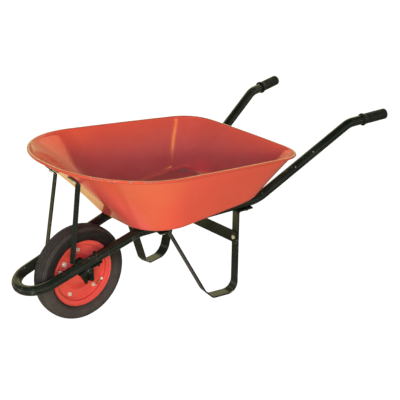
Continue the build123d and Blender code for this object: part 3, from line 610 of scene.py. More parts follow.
def plain_metal(name, a, b_, rough, metal=1.0):
    m = Mat(name)
    n = m.noise(120, 4, 0.6)
    rings = m.noise(60, 3, 0.6, stretch=(1, 14, 1))
    col = m.mix(m.step(n, 0.3, 0.75), a, b_)
    r = m.remap(rings, rough - 0.08, rough + 0.12, 0.3, 0.7)
    return m.set(color=col, rough=r, metal=metal, normal=m.bump(rings, 0.15, 0.0002))


def nylon(name):
    m = Mat(name)
    col = m.mix(m.noise(60, 3, 0.6), (0.66, 0.62, 0.50), (0.78, 0.76, 0.66))
    return m.set(color=col, rough=m.remap(m.noise(200, 2, 0.5), 0.4, 0.6, 0.3, 0.7), normal=m.bump(m.noise(500, 2, 0.5), 0.1, 0.0002))


CHIPS_RIM = [((-61.5, -182.0, 566.7), 1.5, 4.5), ((-55.1, -191.8, 565.3), 1.5, 4.0), ((-48.4, -201.2, 563.8), 1.5, 4.5), ((-41.6, -210.4, 563.4), 1.5, 4.5),
             ((-25.7, -228.9, 561.6), 2.0, 6.0), ((-14.1, -240.8, 560.9), 1.5, 4.5), ((23.0, -270.5, 559.5), 2.0, 7.0), ((79.2, -299.5, 555.7), 2.0, 7.0),
             ((96.3, -307.4, 552.4), 1.5, 5.0)]
# points of the painted reflection crescent inside the front corner
CRESCENT = [(-14.0, 229.0, 567.0), (-20.7, 214.5, 560.2), (-24.5, 206.0, 558.0), (-27.8, 197.7, 555.8), (-32.5, 187.0, 554.4), (-37.2, 177.1, 553.0)]
CHIPS_BLACK = [((790.2, -223.1, 407.4), 1.0, 3.5), ((863.4, -237.6, 451.2), 1.0, 3.5), ((-37.5, 58.6, 480.7), 1.0, 3.5)]
# the tray enamel carries painted light and shade: a lit flank tint, a shaded inside tint with a bend highlight and a
# darker bottom, a lit front tint, a rim crest highlight and a reflection crescent
TRAY_RED = enamel("tray_enamel", (0.680, 0.090, 0.049), (0.640, 0.082, 0.046), (0.540, 0.068, 0.042), chips=CHIPS_RIM, rough=0.115, spec=0.5, flank_light_tint=(0.655, 0.130, 0.056), inner_shade_tint=(0.72, 0.178, 0.134), crest_highlight=(0.60, 0.44, 0.20), front_light_tint=(0.80, 0.122, 0.106))
WHEEL_RED = enamel("wheel_enamel", (0.545, 0.056, 0.048), (0.530, 0.068, 0.044), (0.46, 0.040, 0.034), rough=0.14, peel=0.015, wave=0.012, spec=0.5)
BLACK = black_paint("frame_black", chips=CHIPS_BLACK)
ZINC = zinc("zinc_plate")
# a darker, dirtier copy of the zinc for the bolt heads on the tray floor: the extra soil is dirt, while the darker tint
# and lower metal are painted shade
ZINC_SHADED = zinc("zinc_shaded_soiled", (0.30, 0.31, 0.22), 0.42, 0.3, 0.8)
TYRE = tyre_mat("tyre_rubber")
GRIP = grip_mat("grip_plastic")
BRASS = plain_metal("valve_brass", (0.80, 0.66, 0.34), (0.70, 0.62, 0.42), 0.26)
STEEL = plain_metal("bare_steel", (0.52, 0.52, 0.52), (0.40, 0.39, 0.38), 0.32)
NYLON = nylon("bush_nylon")
INNER = tyre_mat("inner_rubber")

# ---------------------------------------------------------------- the frame
TUBE_R = 17.0
FRONT = A3(-228.3, 0, 176.2)
KNEE1, KNEE2 = A3(182.6, 92.2, 285.9), A3(643.9, 178.4, 309.1)
ELBOW, TIP = A3(1022.4, 257.2, 530.2), A3(1184.0, 288.3, 540.5)
MIRROR = A3(1, -1, 1)


def loop_points(n=36):
    b = math.radians(14.97)
    e = A3(math.cos(b), 0, math.sin(b))
    t = math.radians(87.0)
    return [FRONT + e * (73.5 * (1 - math.cos(a))) + A3(0, 1, 0) * (73.5 * math.sin(a)) for a in np.linspace(-t, t, n)]


LOOP = loop_points()
DT = unit(TIP - ELBOW)
right = path_points([LOOP[-1], KNEE1, KNEE2, ELBOW, TIP - DT * 4.2], [110, 150, 75], 20)
left = [p * MIRROR for p in reversed(right)]
line = left[:-1] + LOOP + right[1:]
fine = [line[0]]
for a, b in zip(line[:-1], line[1:]):
    L = np.linalg.norm(b - a)
    if L < 0.5:
        continue
    k = max(1, int(L / 16.0))
    fine += [a + (b - a) * j / k for j in range(1, k + 1)]
B = Builder()
tube(B, fine, TUBE_R, 44, wear=lambda s, t: 0.35)
B.obj("frame_tube", BLACK, "frame", ["main_frame_tube"], sharp=50)

# ---------------------------------------------------------------- the grips
for side, name in ((1, "right_grip"), (-1, "left_grip")):
    mir = A3(1, side, 1)
    g0 = (ELBOW + DT * 57.0) * mir
    d = DT * mir
    L = float(np.linalg.norm(TIP - ELBOW)) - 57.0
    r = 19.4
    prof = [(17.05, 0.6), (17.6, 0.1), (21.2, 0.0), (22.3, 0.5), (23.0, 1.6), (23.0, 4.9), (22.5, 6.0), (21.4, 6.7), (20.6, 7.6), (20.0, 9.0), (19.6, 11.0), (r, 13.5)]
    z = 18.0
    while z < L - 20:
        for q in range(9):
            u = q / 8
            prof.append((r - 0.9 * math.sin(math.pi * u) ** 0.8, z + 3.6 * u))
        z += 8.0
    prof += [(r, L - 9.0), (r + 0.1, L - 6.0), (r - 0.1, L - 4.0), (r - 0.7, L - 2.2), (r - 2.0, L - 0.8), (r - 4.0, L - 0.15), (r - 6.0, L), (6.0, L - 0.1), (4.0, L - 0.7), (0.01, L - 0.8)]

    def flutes(t, rr, z, L=L):
        # shallow lengthwise finger flats on the underside
        if rr > 20.2 or rr < 15 or z < 14 or z > L - 5:
            return rr
        return rr - 0.25 * (0.5 + 0.5 * math.cos(8 * t))

    B = Builder()
    lathe(B, g0, d, prof, 72, radial=flutes)
    B.obj(name + "_moulded", GRIP, "frame", [name], sharp=60)

# ---------------------------------------------------------------- the tray
SHEET, CURL_R = 1.6, 4.4
RIM = dict(xF=-106.25, xR=760.25, yF=317.1, yR=297.6, rF=290.7, rR=95.6, bF=-3.8, bS=9.1, bR=8.7)
FLOOR = dict(xF=164.7, xR=634.0, yF=199.6, yR=209.1, rF=140.0, rR=61.6, bF=0.0, bS=0.0, bR=0.0)


def outline(xF, xR, yF, yR, rF, rR, bF, bS, bR, nc=26, ne=12, kR=1.0):
    a, b = (xF, yF), (xR, yR)
    L = math.hypot(b[0] - a[0], b[1] - a[1])
    e1, e2, e3 = (0.0, 1.0), ((b[0] - a[0]) / L, (b[1] - a[1]) / L), (0.0, -1.0)

    def fil(P, d1, d2, r, k=1.0):
        dot = d1[0] * d2[0] + d1[1] * d2[1]
        ang = math.acos(max(-1, min(1, dot)))
        t = r * math.tan(ang / 2)
        if k > 1.0:
            # a longer run-in with the same corner point as the round
            T_ = t * k
            rho = 1 - r * (1 / math.cos(ang / 2) - 1) / (T_ * math.sin(ang / 2))
            wt = rho / (1 - rho)
            s0, s2 = (P[0] - d1[0] * T_, P[1] - d1[1] * T_), (P[0] + d2[0] * T_, P[1] + d2[1] * T_)
            res = []
            for u in [i / (nc - 1) for i in range(nc)]:
                b0, b1, b2 = (1 - u) ** 2, 2 * u * (1 - u) * wt, u * u
                res.append(tuple((b0 * s0[j] + b1 * P[j] + b2 * s2[j]) / (b0 + b1 + b2) for j in (0, 1)))
            return res
        s = (P[0] - d1[0] * t, P[1] - d1[1] * t)
        n = (d2[0] - d1[0] * dot, d2[1] - d1[1] * dot)
        nl = math.hypot(*n)
        n = (n[0] / nl, n[1] / nl)
        c = (s[0] + n[0] * r, s[1] + n[1] * r)
        return [(c[0] - n[0] * r * math.cos(q) + d1[0] * r * math.sin(q), c[1] - n[1] * r * math.cos(q) + d1[1] * r * math.sin(q))
                for q in [ang * i / (nc - 1) for i in range(nc)]]

    f1, f2 = fil(a, e1, e2, rF), fil(b, e2, e3, rR, kR)
    pts = [(xF, f1[0][1] * i / (ne - 1)) for i in range(ne - 1)] + f1
    m = 2 * ne + 4
    pts += [(f1[-1][0] + (f2[0][0] - f1[-1][0]) * i / m, f1[-1][1] + (f2[0][1] - f1[-1][1]) * i / m) for i in range(1, m)]
    pts += f2 + [(xR, f2[-1][1] * (1 - i / (ne - 1))) for i in range(1, ne)]
    ym, xm, hl = max(yF, yR), (xF + xR) / 2, (xR - xF) / 2
    half = []
    for x, y in pts:
        u = (x - xm) / hl
        y2 = y * (1 + bS / ym * (1 - u * u))
        wF, wR = max(0.0, min(1.0, -u)) ** 2, max(0.0, min(1.0, u)) ** 2
        x2 = x - bF * (1 - min(1.0, y2 / yF) ** 2) * wF + bR * (1 - min(1.0, y2 / yR) ** 2) * wR
        half.append((x2, y2))
    return half + [(x, -y) for x, y in reversed(half[1:-1])]


rim = np.array([(x, y, 560.0 - 0.106 * x) for x, y in outline(**RIM, kR=1.2)])
flo = np.array([(x, y, 294.9 + 0.0501 * x) for x, y in outline(**FLOOR, kR=1.8)])
RIM_N, FLOOR_N = unit((0.106, 0, 1)), unit((-0.0501, 0, 1))
NN = len(rim)
tan = np.roll(rim, -1, 0) - np.roll(rim, 1, 0)
out_d = np.cross(tan, RIM_N)
out_d /= np.linalg.norm(out_d, axis=1)[:, None]
if out_d[0][0] > 0:
    out_d = -out_d
top = rim - out_d * CURL_R
w = top - flo
w /= np.linalg.norm(w, axis=1)[:, None]
hz = w * A3(1, 1, 0)
hz /= np.linalg.norm(hz, axis=1)[:, None]
hh = top - flo
ca = hh[:, 0] / np.hypot(hh[:, 0], hh[:, 1])
T = 12.0 + 13.5 * np.maximum(0, ca) ** 2
bow = np.where(ca < 0, 7.2, 2.3) * ca ** 2 + 1.5 * (1 - ca ** 2)
P0 = flo - hz * T[:, None]
P0[:, 2] = 294.9 + 0.0501 * P0[:, 0]
P2 = flo + w * T[:, None]
upn = A3(0, 0, 1) - w * w[:, 2:3]
upn /= np.linalg.norm(upn, axis=1)[:, None]
NF, NW = 10, 26
rows = []
for k in range(NF):
    s = k / NF
    rows.append(P0 * (1 - s) ** 2 + flo * (2 * s * (1 - s)) + P2 * s * s)
for k in range(NW + 1):
    s = k / NW
    rows.append(P2 + (top - P2) * s + upn * (bow * 4 * s * (1 - s))[:, None])
rows = np.array(rows)
M = len(rows)


def skin(sgn):
    out = []
    for k in range(M):
        if k == 0:
            n = np.tile(FLOOR_N, (NN, 1))
        elif k == M - 1:
            ww = rows[k] - rows[k - 1]
            ww /= np.linalg.norm(ww, axis=1)[:, None]
            o = -out_d
            perp = o - ww * np.sum(o * ww, 1)[:, None]
            out.append(rows[k] + o * (sgn * SHEET / 2 / np.linalg.norm(perp, axis=1))[:, None])
            continue
        else:
            tu = np.roll(rows[k], -1, 0) - np.roll(rows[k], 1, 0)
            tv = rows[k + 1] - rows[k - 1]
            n = np.cross(tu, tv)
            n /= np.linalg.norm(n, axis=1)[:, None]
            n *= np.sign(n[:, 2])[:, None]
        out.append(rows[k] + n * (sgn * SHEET / 2))
    return out


def curl(r, a0, a1, n):
    return [rim + out_d * (r * math.cos(a)) + RIM_N * (r * math.sin(a)) for a in np.radians(np.linspace(a0, a1, n))]


inner, outer = skin(1), skin(-1)
ri, ro = CURL_R + SHEET / 2, CURL_R - SHEET / 2
cr1, cr2 = curl(ri, 168, -140, 26), curl(ro, -140, 168, 18)


def floor_rows(edge, dz):
    """rings closing the floor, shrinking toward its middle line"""
    c = A3(399.0, 0, 0)
    out = []
    for f in (0.93, 0.84, 0.72, 0.58, 0.42, 0.24, 0.08):
        q = c + (edge - c) * f
        q[:, 2] = edge[:, 2] * 0 + (294.9 + 0.0501 * q[:, 0]) + dz
        out.append(q)
    return out


seq, wear = [], []
dz = SHEET / 2 / FLOOR_N[2]
fr_in, fr_out = floor_rows(inner[0], dz), floor_rows(outer[0], -dz)
for q in reversed(fr_in):
    seq.append(q), wear.append(0.0)
for q in inner[:-1]:
    seq.append(q), wear.append(0.0)
for k, q in enumerate(cr1):
    a = 168 + (-140 - 168) * k / 25
    seq.append(q), wear.append(1.0 if 20 < a < 150 else (0.8 if -60 < a <= 20 else 0.2))
for q in cr2:
    seq.append(q), wear.append(0.0)
for q in reversed(outer[:-1]):
    seq.append(q), wear.append(0.0)
for q in fr_out:
    seq.append(q), wear.append(0.0)
verts = np.concatenate(seq)
wv = np.repeat(np.array(wear), NN)
faces = grid_faces(len(seq), NN, True, False)
faces.append(tuple(range(NN)))
faces.append(tuple((len(seq) - 1) * NN + i for i in range(NN)))
B = Builder()
B.add(verts, faces, wv)
B.obj("pressed_tray", TRAY_RED, "frame", ["tray"], sharp=55)

# ---------------------------------------------------------------- straps
Z3 = A3(0, 0, 1)
STRUTS = [
    ('left_front_strut', ((9.3356, 248.75219), (-32.6644, 237.55939), (12.55964, 506.27242), (-20.96413, 537.64976)), (-42.89736, -65.7, 0.0), (-0.99195, -0.12663, 0.0), (0.12663, -0.99195, 0.0), 506.27242, 0.0205),
    ('right_front_strut', ((9.3356, 248.75219), (-32.6644, 237.55939), (12.55964, 506.27242), (-20.96413, 537.64976)), (-42.89736, 65.7, 0.0), (-0.99195, 0.12663, 0.0), (-0.12663, -0.99195, 0.0), 506.27242, -0.0205),
]
STANDS = [
    ('left_stand', ((71.61856, 269.61642), (110.27631, 271.52754), (228.28417, 29.0), (255.75151, 2.5), (352.39588, 2.5), (385.96708, 285.15685), (444.97101, 288.07382)), (182.6, 92.2, 0.0), (0.98299, 0.18368, 0.0)),
    ('right_stand', ((71.61856, 269.61642), (110.27631, 271.52754), (228.28417, 29.0), (255.75151, 2.5), (352.39588, 2.5), (385.96708, 285.15685), (444.97101, 288.07382)), (182.6, 92.2, 0.0), (0.98299, 0.18368, 0.0)),
]
BRACE = (((540.78948, 189.316), (546.66736, 157.86047), (546.66736, -157.86047), (540.78948, -189.316)), 0.12083)
VALVE = ((75.4757, -2.4, 95.61777), (64.7248, -10.5, 105.64315), (79.69706, -15.57982, 119.4644), (0.71296, -0.2419, 0.65815))
FAST = {
    'strut_top_bolts': [
        ('bolt', (-46.2866, -66.13267, 518.34953), (0.67785, 0.08653, 0.73009), 18.0, 4.0, 13.0, 5.3),
        ('bolt', (-46.2866, 66.13267, 518.34953), (0.67785, -0.08653, 0.73009), 18.0, 4.0, 13.0, 5.3),
    ],
    'strut_top_nuts': [
        ('nut', (-41.4061, -65.50963, 523.60621), (0.67785, 0.08653, 0.73009), 4.0, 13.0, 6.5),
        ('nut', (-41.4061, 65.50963, 523.60621), (0.67785, -0.08653, 0.73009), 4.0, 13.0, 6.5),
    ],
    'brace_bolts': [
        ('bolt', (541.50941, -174.19089, 190.8079), (0.97612, -0.1824, -0.11794), 20.35, 4.0, 13.0, 5.3),
        ('bolt', (541.50941, 174.19089, 190.8079), (0.97612, 0.1824, -0.11794), 20.35, 4.0, 13.0, 5.3),
    ],
    'brace_nuts': [
        ('nut', (550.78259, -175.92371, 189.68746), (0.97612, -0.1824, -0.11794), 4.0, 13.0, 6.5),
        ('nut', (550.78259, 175.92371, 189.68746), (0.97612, 0.1824, -0.11794), 4.0, 13.0, 6.5),
    ],
    'bracket_bolts': [
        ('bolt', (-51.25957, -79.40432, 246.66606), (0.25712, -0.01407, -0.96628), 57.65, 4.0, 13.0, 5.3),
        ('bolt', (10.09033, -82.7611, 257.60675), (0.25712, -0.01407, -0.96628), 52.4, 4.0, 13.0, 5.3),
        ('bolt', (-51.25957, 79.40432, 246.66606), (0.25712, 0.01407, -0.96628), 57.65, 4.0, 13.0, 5.3),
        ('bolt', (10.09033, 82.7611, 257.60675), (0.25712, 0.01407, -0.96628), 52.4, 4.0, 13.0, 5.3),
    ],
    'bracket_nuts': [
        ('nut', (-39.779, -80.03249, 203.52183), (0.25712, -0.01407, -0.96628), 4.0, 13.0, 6.5),
        ('nut', (20.221, -83.3154, 219.53547), (0.25712, -0.01407, -0.96628), 4.0, 13.0, 6.5),
        ('nut', (-39.779, 80.03249, 203.52183), (0.25712, 0.01407, -0.96628), 4.0, 13.0, 6.5),
        ('nut', (20.221, 83.3154, 219.53547), (0.25712, 0.01407, -0.96628), 4.0, 13.0, 6.5),
    ],
    'tray_bolts': [
        ('dome', (274.06284, -109.29104, 309.83183), (-0.04854, 0.00907, 0.99878), 52.60834),
        ('dome', (600.66589, -170.32114, 326.19465), (-0.04854, 0.00907, 0.99878), 52.5455),
        ('dome', (274.06284, 109.29104, 309.83183), (-0.04854, -0.00907, 0.99878), 52.60834),
        ('dome', (600.66589, 170.32114, 326.19465), (-0.04854, -0.00907, 0.99878), 52.5455),
    ],
    'tray_washers': [
        ('washer', (276.16002, -109.68293, 266.67619), (0.04854, -0.00907, -0.99878), 4.3, 9.0, 1.6),
        ('washer', (602.76002, -170.71245, 283.10177), (0.04854, -0.00907, -0.99878), 4.3, 9.0, 1.6),
        ('washer', (276.16002, 109.68293, 266.67619), (0.04854, 0.00907, -0.99878), 4.3, 9.0, 1.6),
        ('washer', (602.76002, 170.71245, 283.10177), (0.04854, 0.00907, -0.99878), 4.3, 9.0, 1.6),
    ],
    'tray_nuts': [
        ('nut', (276.24253, -109.69834, 264.97827), (0.04854, -0.00907, -0.99878), 4.0, 13.0, 6.5),
        ('nut', (602.84253, -170.72787, 281.40385), (0.04854, -0.00907, -0.99878), 4.0, 13.0, 6.5),
        ('nut', (276.24253, 109.69834, 264.97827), (0.04854, 0.00907, -0.99878), 4.0, 13.0, 6.5),
        ('nut', (602.84253, 170.72787, 281.40385), (0.04854, 0.00907, -0.99878), 4.0, 13.0, 6.5),
    ],
    'axle_bolt': [
        ('bolt', (0.0, 65.0, 166.0), (0.0, -1.0, 0.0), 145.8, 6.0, 18.0, 7.5),
    ],
    'axle_washers': [
        ('washer', (0.0, -62.5, 166.0), (0.0, -1.0, 0.0), 6.3, 12.0, 2.5),
        ('washer', (0.0, 62.5, 166.0), (0.0, 1.0, 0.0), 6.3, 12.0, 2.5),
    ],
    'axle_nut': [
        ('nut', (0.0, -65.0, 166.0), (0.0, -1.0, 0.0), 6.0, 18.0, 10.8),
    ],
    'axle_spacers': [
        ('washer', (0.0, -41.4, 166.0), (0.0, -1.0, 0.0), 10.1, 14.0, 16.1),
        ('washer', (0.0, 41.4, 166.0), (0.0, 1.0, 0.0), 10.1, 14.0, 16.1),
    ],
    'rim_bolts': [
        ('bolt', (77.02039, 2.1, 195.56536), (0.0, -1.0, 0.0), 15.7, 4.0, 13.0, 5.3),
        ('bolt', (-4.31772, 2.1, 248.38694), (0.0, -1.0, 0.0), 15.7, 4.0, 13.0, 5.3),
        ('bolt', (-79.68888, 2.1, 187.35257), (0.0, -1.0, 0.0), 15.7, 4.0, 13.0, 5.3),
        ('bolt', (-44.93272, 2.1, 96.80968), (0.0, -1.0, 0.0), 15.7, 4.0, 13.0, 5.3),
        ('bolt', (51.91893, 2.1, 101.88546), (0.0, -1.0, 0.0), 15.7, 4.0, 13.0, 5.3),
    ],
    'rim_nuts': [
        ('nut', (77.02039, -2.1, 195.56536), (0.0, -1.0, 0.0), 4.0, 13.0, 6.5),
        ('nut', (-4.31772, -2.1, 248.38694), (0.0, -1.0, 0.0), 4.0, 13.0, 6.5),
        ('nut', (-79.68888, -2.1, 187.35257), (0.0, -1.0, 0.0), 4.0, 13.0, 6.5),
        ('nut', (-44.93272, -2.1, 96.80968), (0.0, -1.0, 0.0), 4.0, 13.0, 6.5),
        ('nut', (51.91893, -2.1, 101.88546), (0.0, -1.0, 0.0), 4.0, 13.0, 6.5),
    ],
    'clamp_bolt': [
        ('bolt', (-61.09312, 2.1, 211.20653), (0.0, -1.0, 0.0), 17.2, 5.0, 17.0, 6.4),
    ],
    'clamp_nut': [
        ('nut', (-61.09312, -2.1, 211.20653), (0.0, -1.0, 0.0), 5.0, 17.0, 8.4),
    ],
}

for name, pts, o, ax, wd, ztop, sh in STRUTS:
    o, ax, wd = A3(*o), A3(*ax), A3(*wd)

    def to3(u, v, a, o=o, ax=ax, wd=wd, ztop=ztop, sh=sh):
        return o - ax * u + Z3 * v + wd * (a + sh * (ztop - v))

    B = Builder()
    strap(B, pts, [6.0, 9.0], 22.0, 4.0, to3, taper=3.0)
    B.obj(name + "_strap", BLACK, "frame", [name], sharp=50)

for name, pts, org, dh in STANDS:
    org, dh = A3(*org), A3(*dh)
    side = -1 if name.startswith("left") else 1
    nh = A3(-dh[1], dh[0], 0)

    def to3(u, v, a, org=org, dh=dh, nh=nh, side=side):
        p = org + dh * u + Z3 * v + nh * (a + 0.163 * (280.0 - v))
        return p * A3(1, side, 1)

    B = Builder()
    strap(B, pts, [10.0, 60.0, 18.0, 42.0, 9.0], 40.0, 5.0, to3, taper=4.0, arc=16)
    B.obj(name + "_strap", BLACK, "frame", [name], sharp=50)

B = Builder()
strap(B, BRACE[0], [12.0, 12.0], 42.0, 4.0, lambda u, v, a: A3(u + BRACE[1] * a, v, 190.0 + a), taper=3.0)
B.obj("cross_brace_bar", BLACK, "frame", ["stand_cross_brace"], sharp=50)


# brackets: the CAD shape with its sharp corners broken
def softened(node, name, mat, width=0.5, body="frame"):
    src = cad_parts[node]
    me = src.data.copy()
    me.name = name
    bm = bmesh.new()
    bm.from_mesh(me)
    bmesh.ops.remove_doubles(bm, verts=bm.verts, dist=1e-6)
    bmesh.ops.dissolve_limit(bm, angle_limit=math.radians(1.5), verts=bm.verts, edges=bm.edges)
    bmesh.ops.recalc_face_normals(bm, faces=bm.faces)
    bm.to_mesh(me)
    bm.free()
    at = me.attributes.new("wear", "FLOAT", "POINT")
    at.data.foreach_set("value", np.full(len(me.vertices), 0.6, np.float32))
    me.materials.clear()
    me.materials.append(mat)
    ob = bpy.data.objects.new(name, me)
    scene.collection.objects.link(ob)
    bv = ob.modifiers.new("edges", "BEVEL")
    bv.width = width * 0.001
    bv.segments = 2
    bv.limit_method = "ANGLE"
    bv.angle_limit = math.radians(35)
    bv.harden_normals = False
    me.polygons.foreach_set("use_smooth", [True] * len(me.polygons))
    me.set_sharp_from_angle(angle=math.radians(50))
    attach(ob, body)
    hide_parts(node)
    return ob


softened("left_axle_bracket", "left_bracket_plate", BLACK)
softened("right_axle_bracket", "right_bracket_plate", BLACK)

# ---------------------------------------------------------------- fasteners
for name, items in FAST.items():
    B = Builder()
    for it in items:
        k, a = it[0], it[1:]
        if k == "bolt":
            bolt(B, *a)
        elif k == "nut":
            nut(B, *a)
        elif k == "washer":
            washer(B, *a)
        elif k == "dome":
            p, d, L = A3(*a[0]), unit(a[1]), a[2]
            lathe(B, p, d, [(0.01, 0.0), (9.2, 0.0), (9.85, 0.15), (9.6, 0.75), (8.6, 1.5), (7.0, 2.3), (5.0, 2.85), (2.6, 3.15), (0.01, 3.2)], 40)
            thread(B, p + d * 0.05, -d, 4.0, L, plain=L - 16.0)
    dark = name in ("axle_bolt", "axle_nut", "axle_washers", "bracket_bolts", "bracket_nuts")
    B.obj(name + "_set", BLACK if dark else ZINC_SHADED if name == "tray_bolts" else ZINC, "wheel" if name.startswith(("rim_", "clamp_")) else "frame", [name],
          sharp=28)

# ---------------------------------------------------------------- the wheel
def ribbon2(pts, radii, t, arc=8):
    """closed outline of a strip of sheet along a bent line, with rounded ends"""
    P = path_points([(a, b, 0) for a, b in pts], radii, arc)
    T = tangents(P)
    # at a bend the offset is exact for arcs sampled this finely
    n = [A3(-q[1], q[0], 0) for q in T]
    up_ = [p + q * (t / 2) for p, q in zip(P, n)]
    dn = [p - q * (t / 2) for p, q in zip(P, n)]
    def cap(p, d, n_, sg):
        return [p + n_ * (t / 2 * math.cos(a)) * sg + d * (t / 2 * math.sin(a)) for a in np.radians((30, 60, 90, 120, 150))]
    end = cap(P[-1] - T[-1] * (t / 2), T[-1], n[-1], 1)
    start = cap(P[0] + T[0] * (t / 2) * 0, -T[0] * 0.2, n[0], -1)
    up_[-1] = up_[-1] - T[-1] * (t / 2)
    dn[-1] = dn[-1] - T[-1] * (t / 2)
    return [(q[0], q[1]) for q in up_ + end + list(reversed(dn)) + start]


HALF = [(17.05, 34.0), (26.0, 34.0), (62.0, 1.05), (94.5, 1.05), (97.0, 5.5), (100.6, 6.5), (100.6, 18.5), (112.8, 19.5), (115.8, 23.5)]
for side, name in ((-1, "left_wheel_half"), (1, "right_wheel_half")):
    prof = ribbon2(HALF, [7.0, 12.0, 2.2, 2.2, 2.2, 3.0, 2.2], 2.0)
    prof = [(r, y * side) for r, y in prof]
    if side > 0:
        prof = prof[::-1]
    wr = [1.0 if (r > 113.5) else 0.15 for r, y in prof]
    B = Builder()
    turned(B, prof, 180, True, wr)
    B.obj(name + "_disc", WHEEL_RED, "wheel", [name], sharp=60)

# tyre
HALF_W, BELLY = 38.5, 137.0


def crown_r(y):
    return BELLY + (WHEEL_R - BELLY) * (1 - (min(abs(y), HALF_W - 1e-6) / HALF_W) ** 2.4) ** (1 / 2.4)


side_prof = [(101.9, 7.3), (101.9, 12.0), (101.9, 15.2), (102.3, 16.4), (103.4, 17.1), (106.0, 17.3), (110.0, 17.5), (113.5, 18.0), (116.0, 18.7),
             (117.6, 19.7), (118.6, 21.2), (119.0, 22.8), (119.9, 24.3), (120.5, 26.6), (121.3, 28.4), (122.6, 30.9), (124.6, 33.6), (126.4, 35.0), (126.9, 35.9), (127.8, 36.4),
             (129.4, 37.0), (132.5, 38.05), (135.0, 38.4), (137.0, 38.5)]
for y in (38.42, 38.1, 37.6, 36.9, 36.0, 34.9, 33.6, 32.2):
    side_prof.append((crown_r(y), y))
side_prof += [(crown_r(31.0) + 0.0, 31.0), (crown_r(30.3) - 0.9, 30.4), (crown_r(29.6) - 0.9, 29.6), (crown_r(28.9), 28.9), (crown_r(27.6), 27.6)]
for a, b in ((26.5, 23.5), (15.5, 12.5), (4.5, 1.5)):
    g = 2.4
    side_prof += [(crown_r(a) - 0.0, a + 0.25), (crown_r(a) - 0.25, a), (crown_r(a) - g + 0.5, a - 0.55), (crown_r(a) - g, a - 0.95), (crown_r(b) - g, b + 0.95),
                  (crown_r(b) - g + 0.5, b + 0.55), (crown_r(b) - 0.25, b), (crown_r(b) - 0.0, b - 0.25)]
    if b > 2:
        mid = (b + (15.5 if a > 20 else 4.5)) / 2
        side_prof += [(crown_r(mid + 2.2), mid + 2.2), (crown_r(mid), mid), (crown_r(mid - 2.2), mid - 2.2)]
cav = [(101.9, 7.3), (110.0, 10.0), (116.0, 13.0), (121.0, 18.5), (125.0, 26.0), (130.0, 32.0), (136.0, 34.0), (142.0, 33.2), (147.0, 30.5), (151.0, 26.0), (154.0, 20.0), (156.5, 12.0)]
prof = side_prof + [(r, -y) for r, y in reversed(side_prof)] + [(r, -y) for r, y in cav[1:]] + [(158.0, 0.0)] + [(r, y) for r, y in reversed(cav[1:])]
# dust and a painted highlight lie in the grooves, the rib tops get a little of it
wr = [0.0 if r < 153.0 or (r, y) in cav else (1.0 if crown_r(y) - r > 0.8 else (0.32 if r > 154.0 else 0.0)) for r, y in prof]


def lugs(t, r, y):
    # ribs broken by short cross cuts on the shoulder
    if r < 157.2 or r > 164.9 or not 15.9 < abs(y) < 23.2:
        return 0.0
    u = (t * 72 / (2 * math.pi)) % 1.0
    return -1.1 if u < 0.28 else 0.0


B = Builder()
turned(B, prof, 360, True, wr, dr=lugs)
B.obj("ribbed_tyre", TYRE, "wheel", ["tyre"], sharp=42)

# valve: threaded stem, bent, with a knurled cap
p0, p1, pe, od = [A3(*v) for v in VALVE]
P = path_points([p0, p1, pe - od * 4.0], [6.0], 12, 1.0)
B = Builder()
T_all = 0.0


def stem_r(s):
    if s < 7:
        return 3.2
    ph = (s / 0.9) % 1.0
    return 3.2 - 0.35 * (1 - abs(2 * ph - 1)) if s > 22 else 3.15


tube(B, path_points([p0, p1, pe], [6.0], 14, 0.45), stem_r, 28)
rd = unit(p1 - p0)
lathe(B, p0 + rd * 3.2, rd, [(3.2, 0.0), (5.6, 0.0), (6.0, 0.3), (6.0, 1.2), (5.6, 1.5), (3.2, 1.5)], 40, close=False)
B.obj("bent_valve_stem", BRASS, "wheel", ["valve_stem"], sharp=35)
B = Builder()
cap = [(3.3, 0.0), (4.6, 0.0), (4.85, 0.3), (4.8, 2.2), (4.6, 2.5), (4.6, 3.2), (4.75, 3.5), (4.5, 9.6), (4.1, 10.6), (3.4, 11.0), (0.01, 11.0)]
lathe(B, pe - od * 5.0, od, cap, 60, radial=lambda t, r, z: r - (0.28 * (0.5 + 0.5 * math.cos(20 * t)) if r > 4.3 and z > 3.3 else 0.0))
B.obj("valve_cap_knurled", ZINC, "wheel", ["valve_cap"], sharp=35)

# hidden pieces keep their CAD shape and get their own finish
for node, m in (("hub_tube", WHEEL_RED), ("hub_bushes", NYLON), ("axle_sleeve", STEEL), ("inner_tube", INNER)):
    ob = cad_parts[node]
    for s in ob.material_slots:
        s.material = m

# ---------------------------------------------------------------- the set
# painted light: for light rays the floor glows, warm and bright on the far side and dim under and near the barrow as
# painted shade
FLOOR_COL = (0.68, 0.57, 0.18)
FLOOR_NEAR = (0.06, 0.05, 0.02)
BACK_COL = (1.50, 1.40, 0.78)
ROOM_LOW = (1.35, 1.30, 1.10)
ROOM_SIDE = (0.12, 0.11, 0.13)
ROOM_TOP = (0.08, 0.08, 0.08)
BACKDROP = (-34.0, 106.0, 44.0)
BACK_FOOT = 14.5

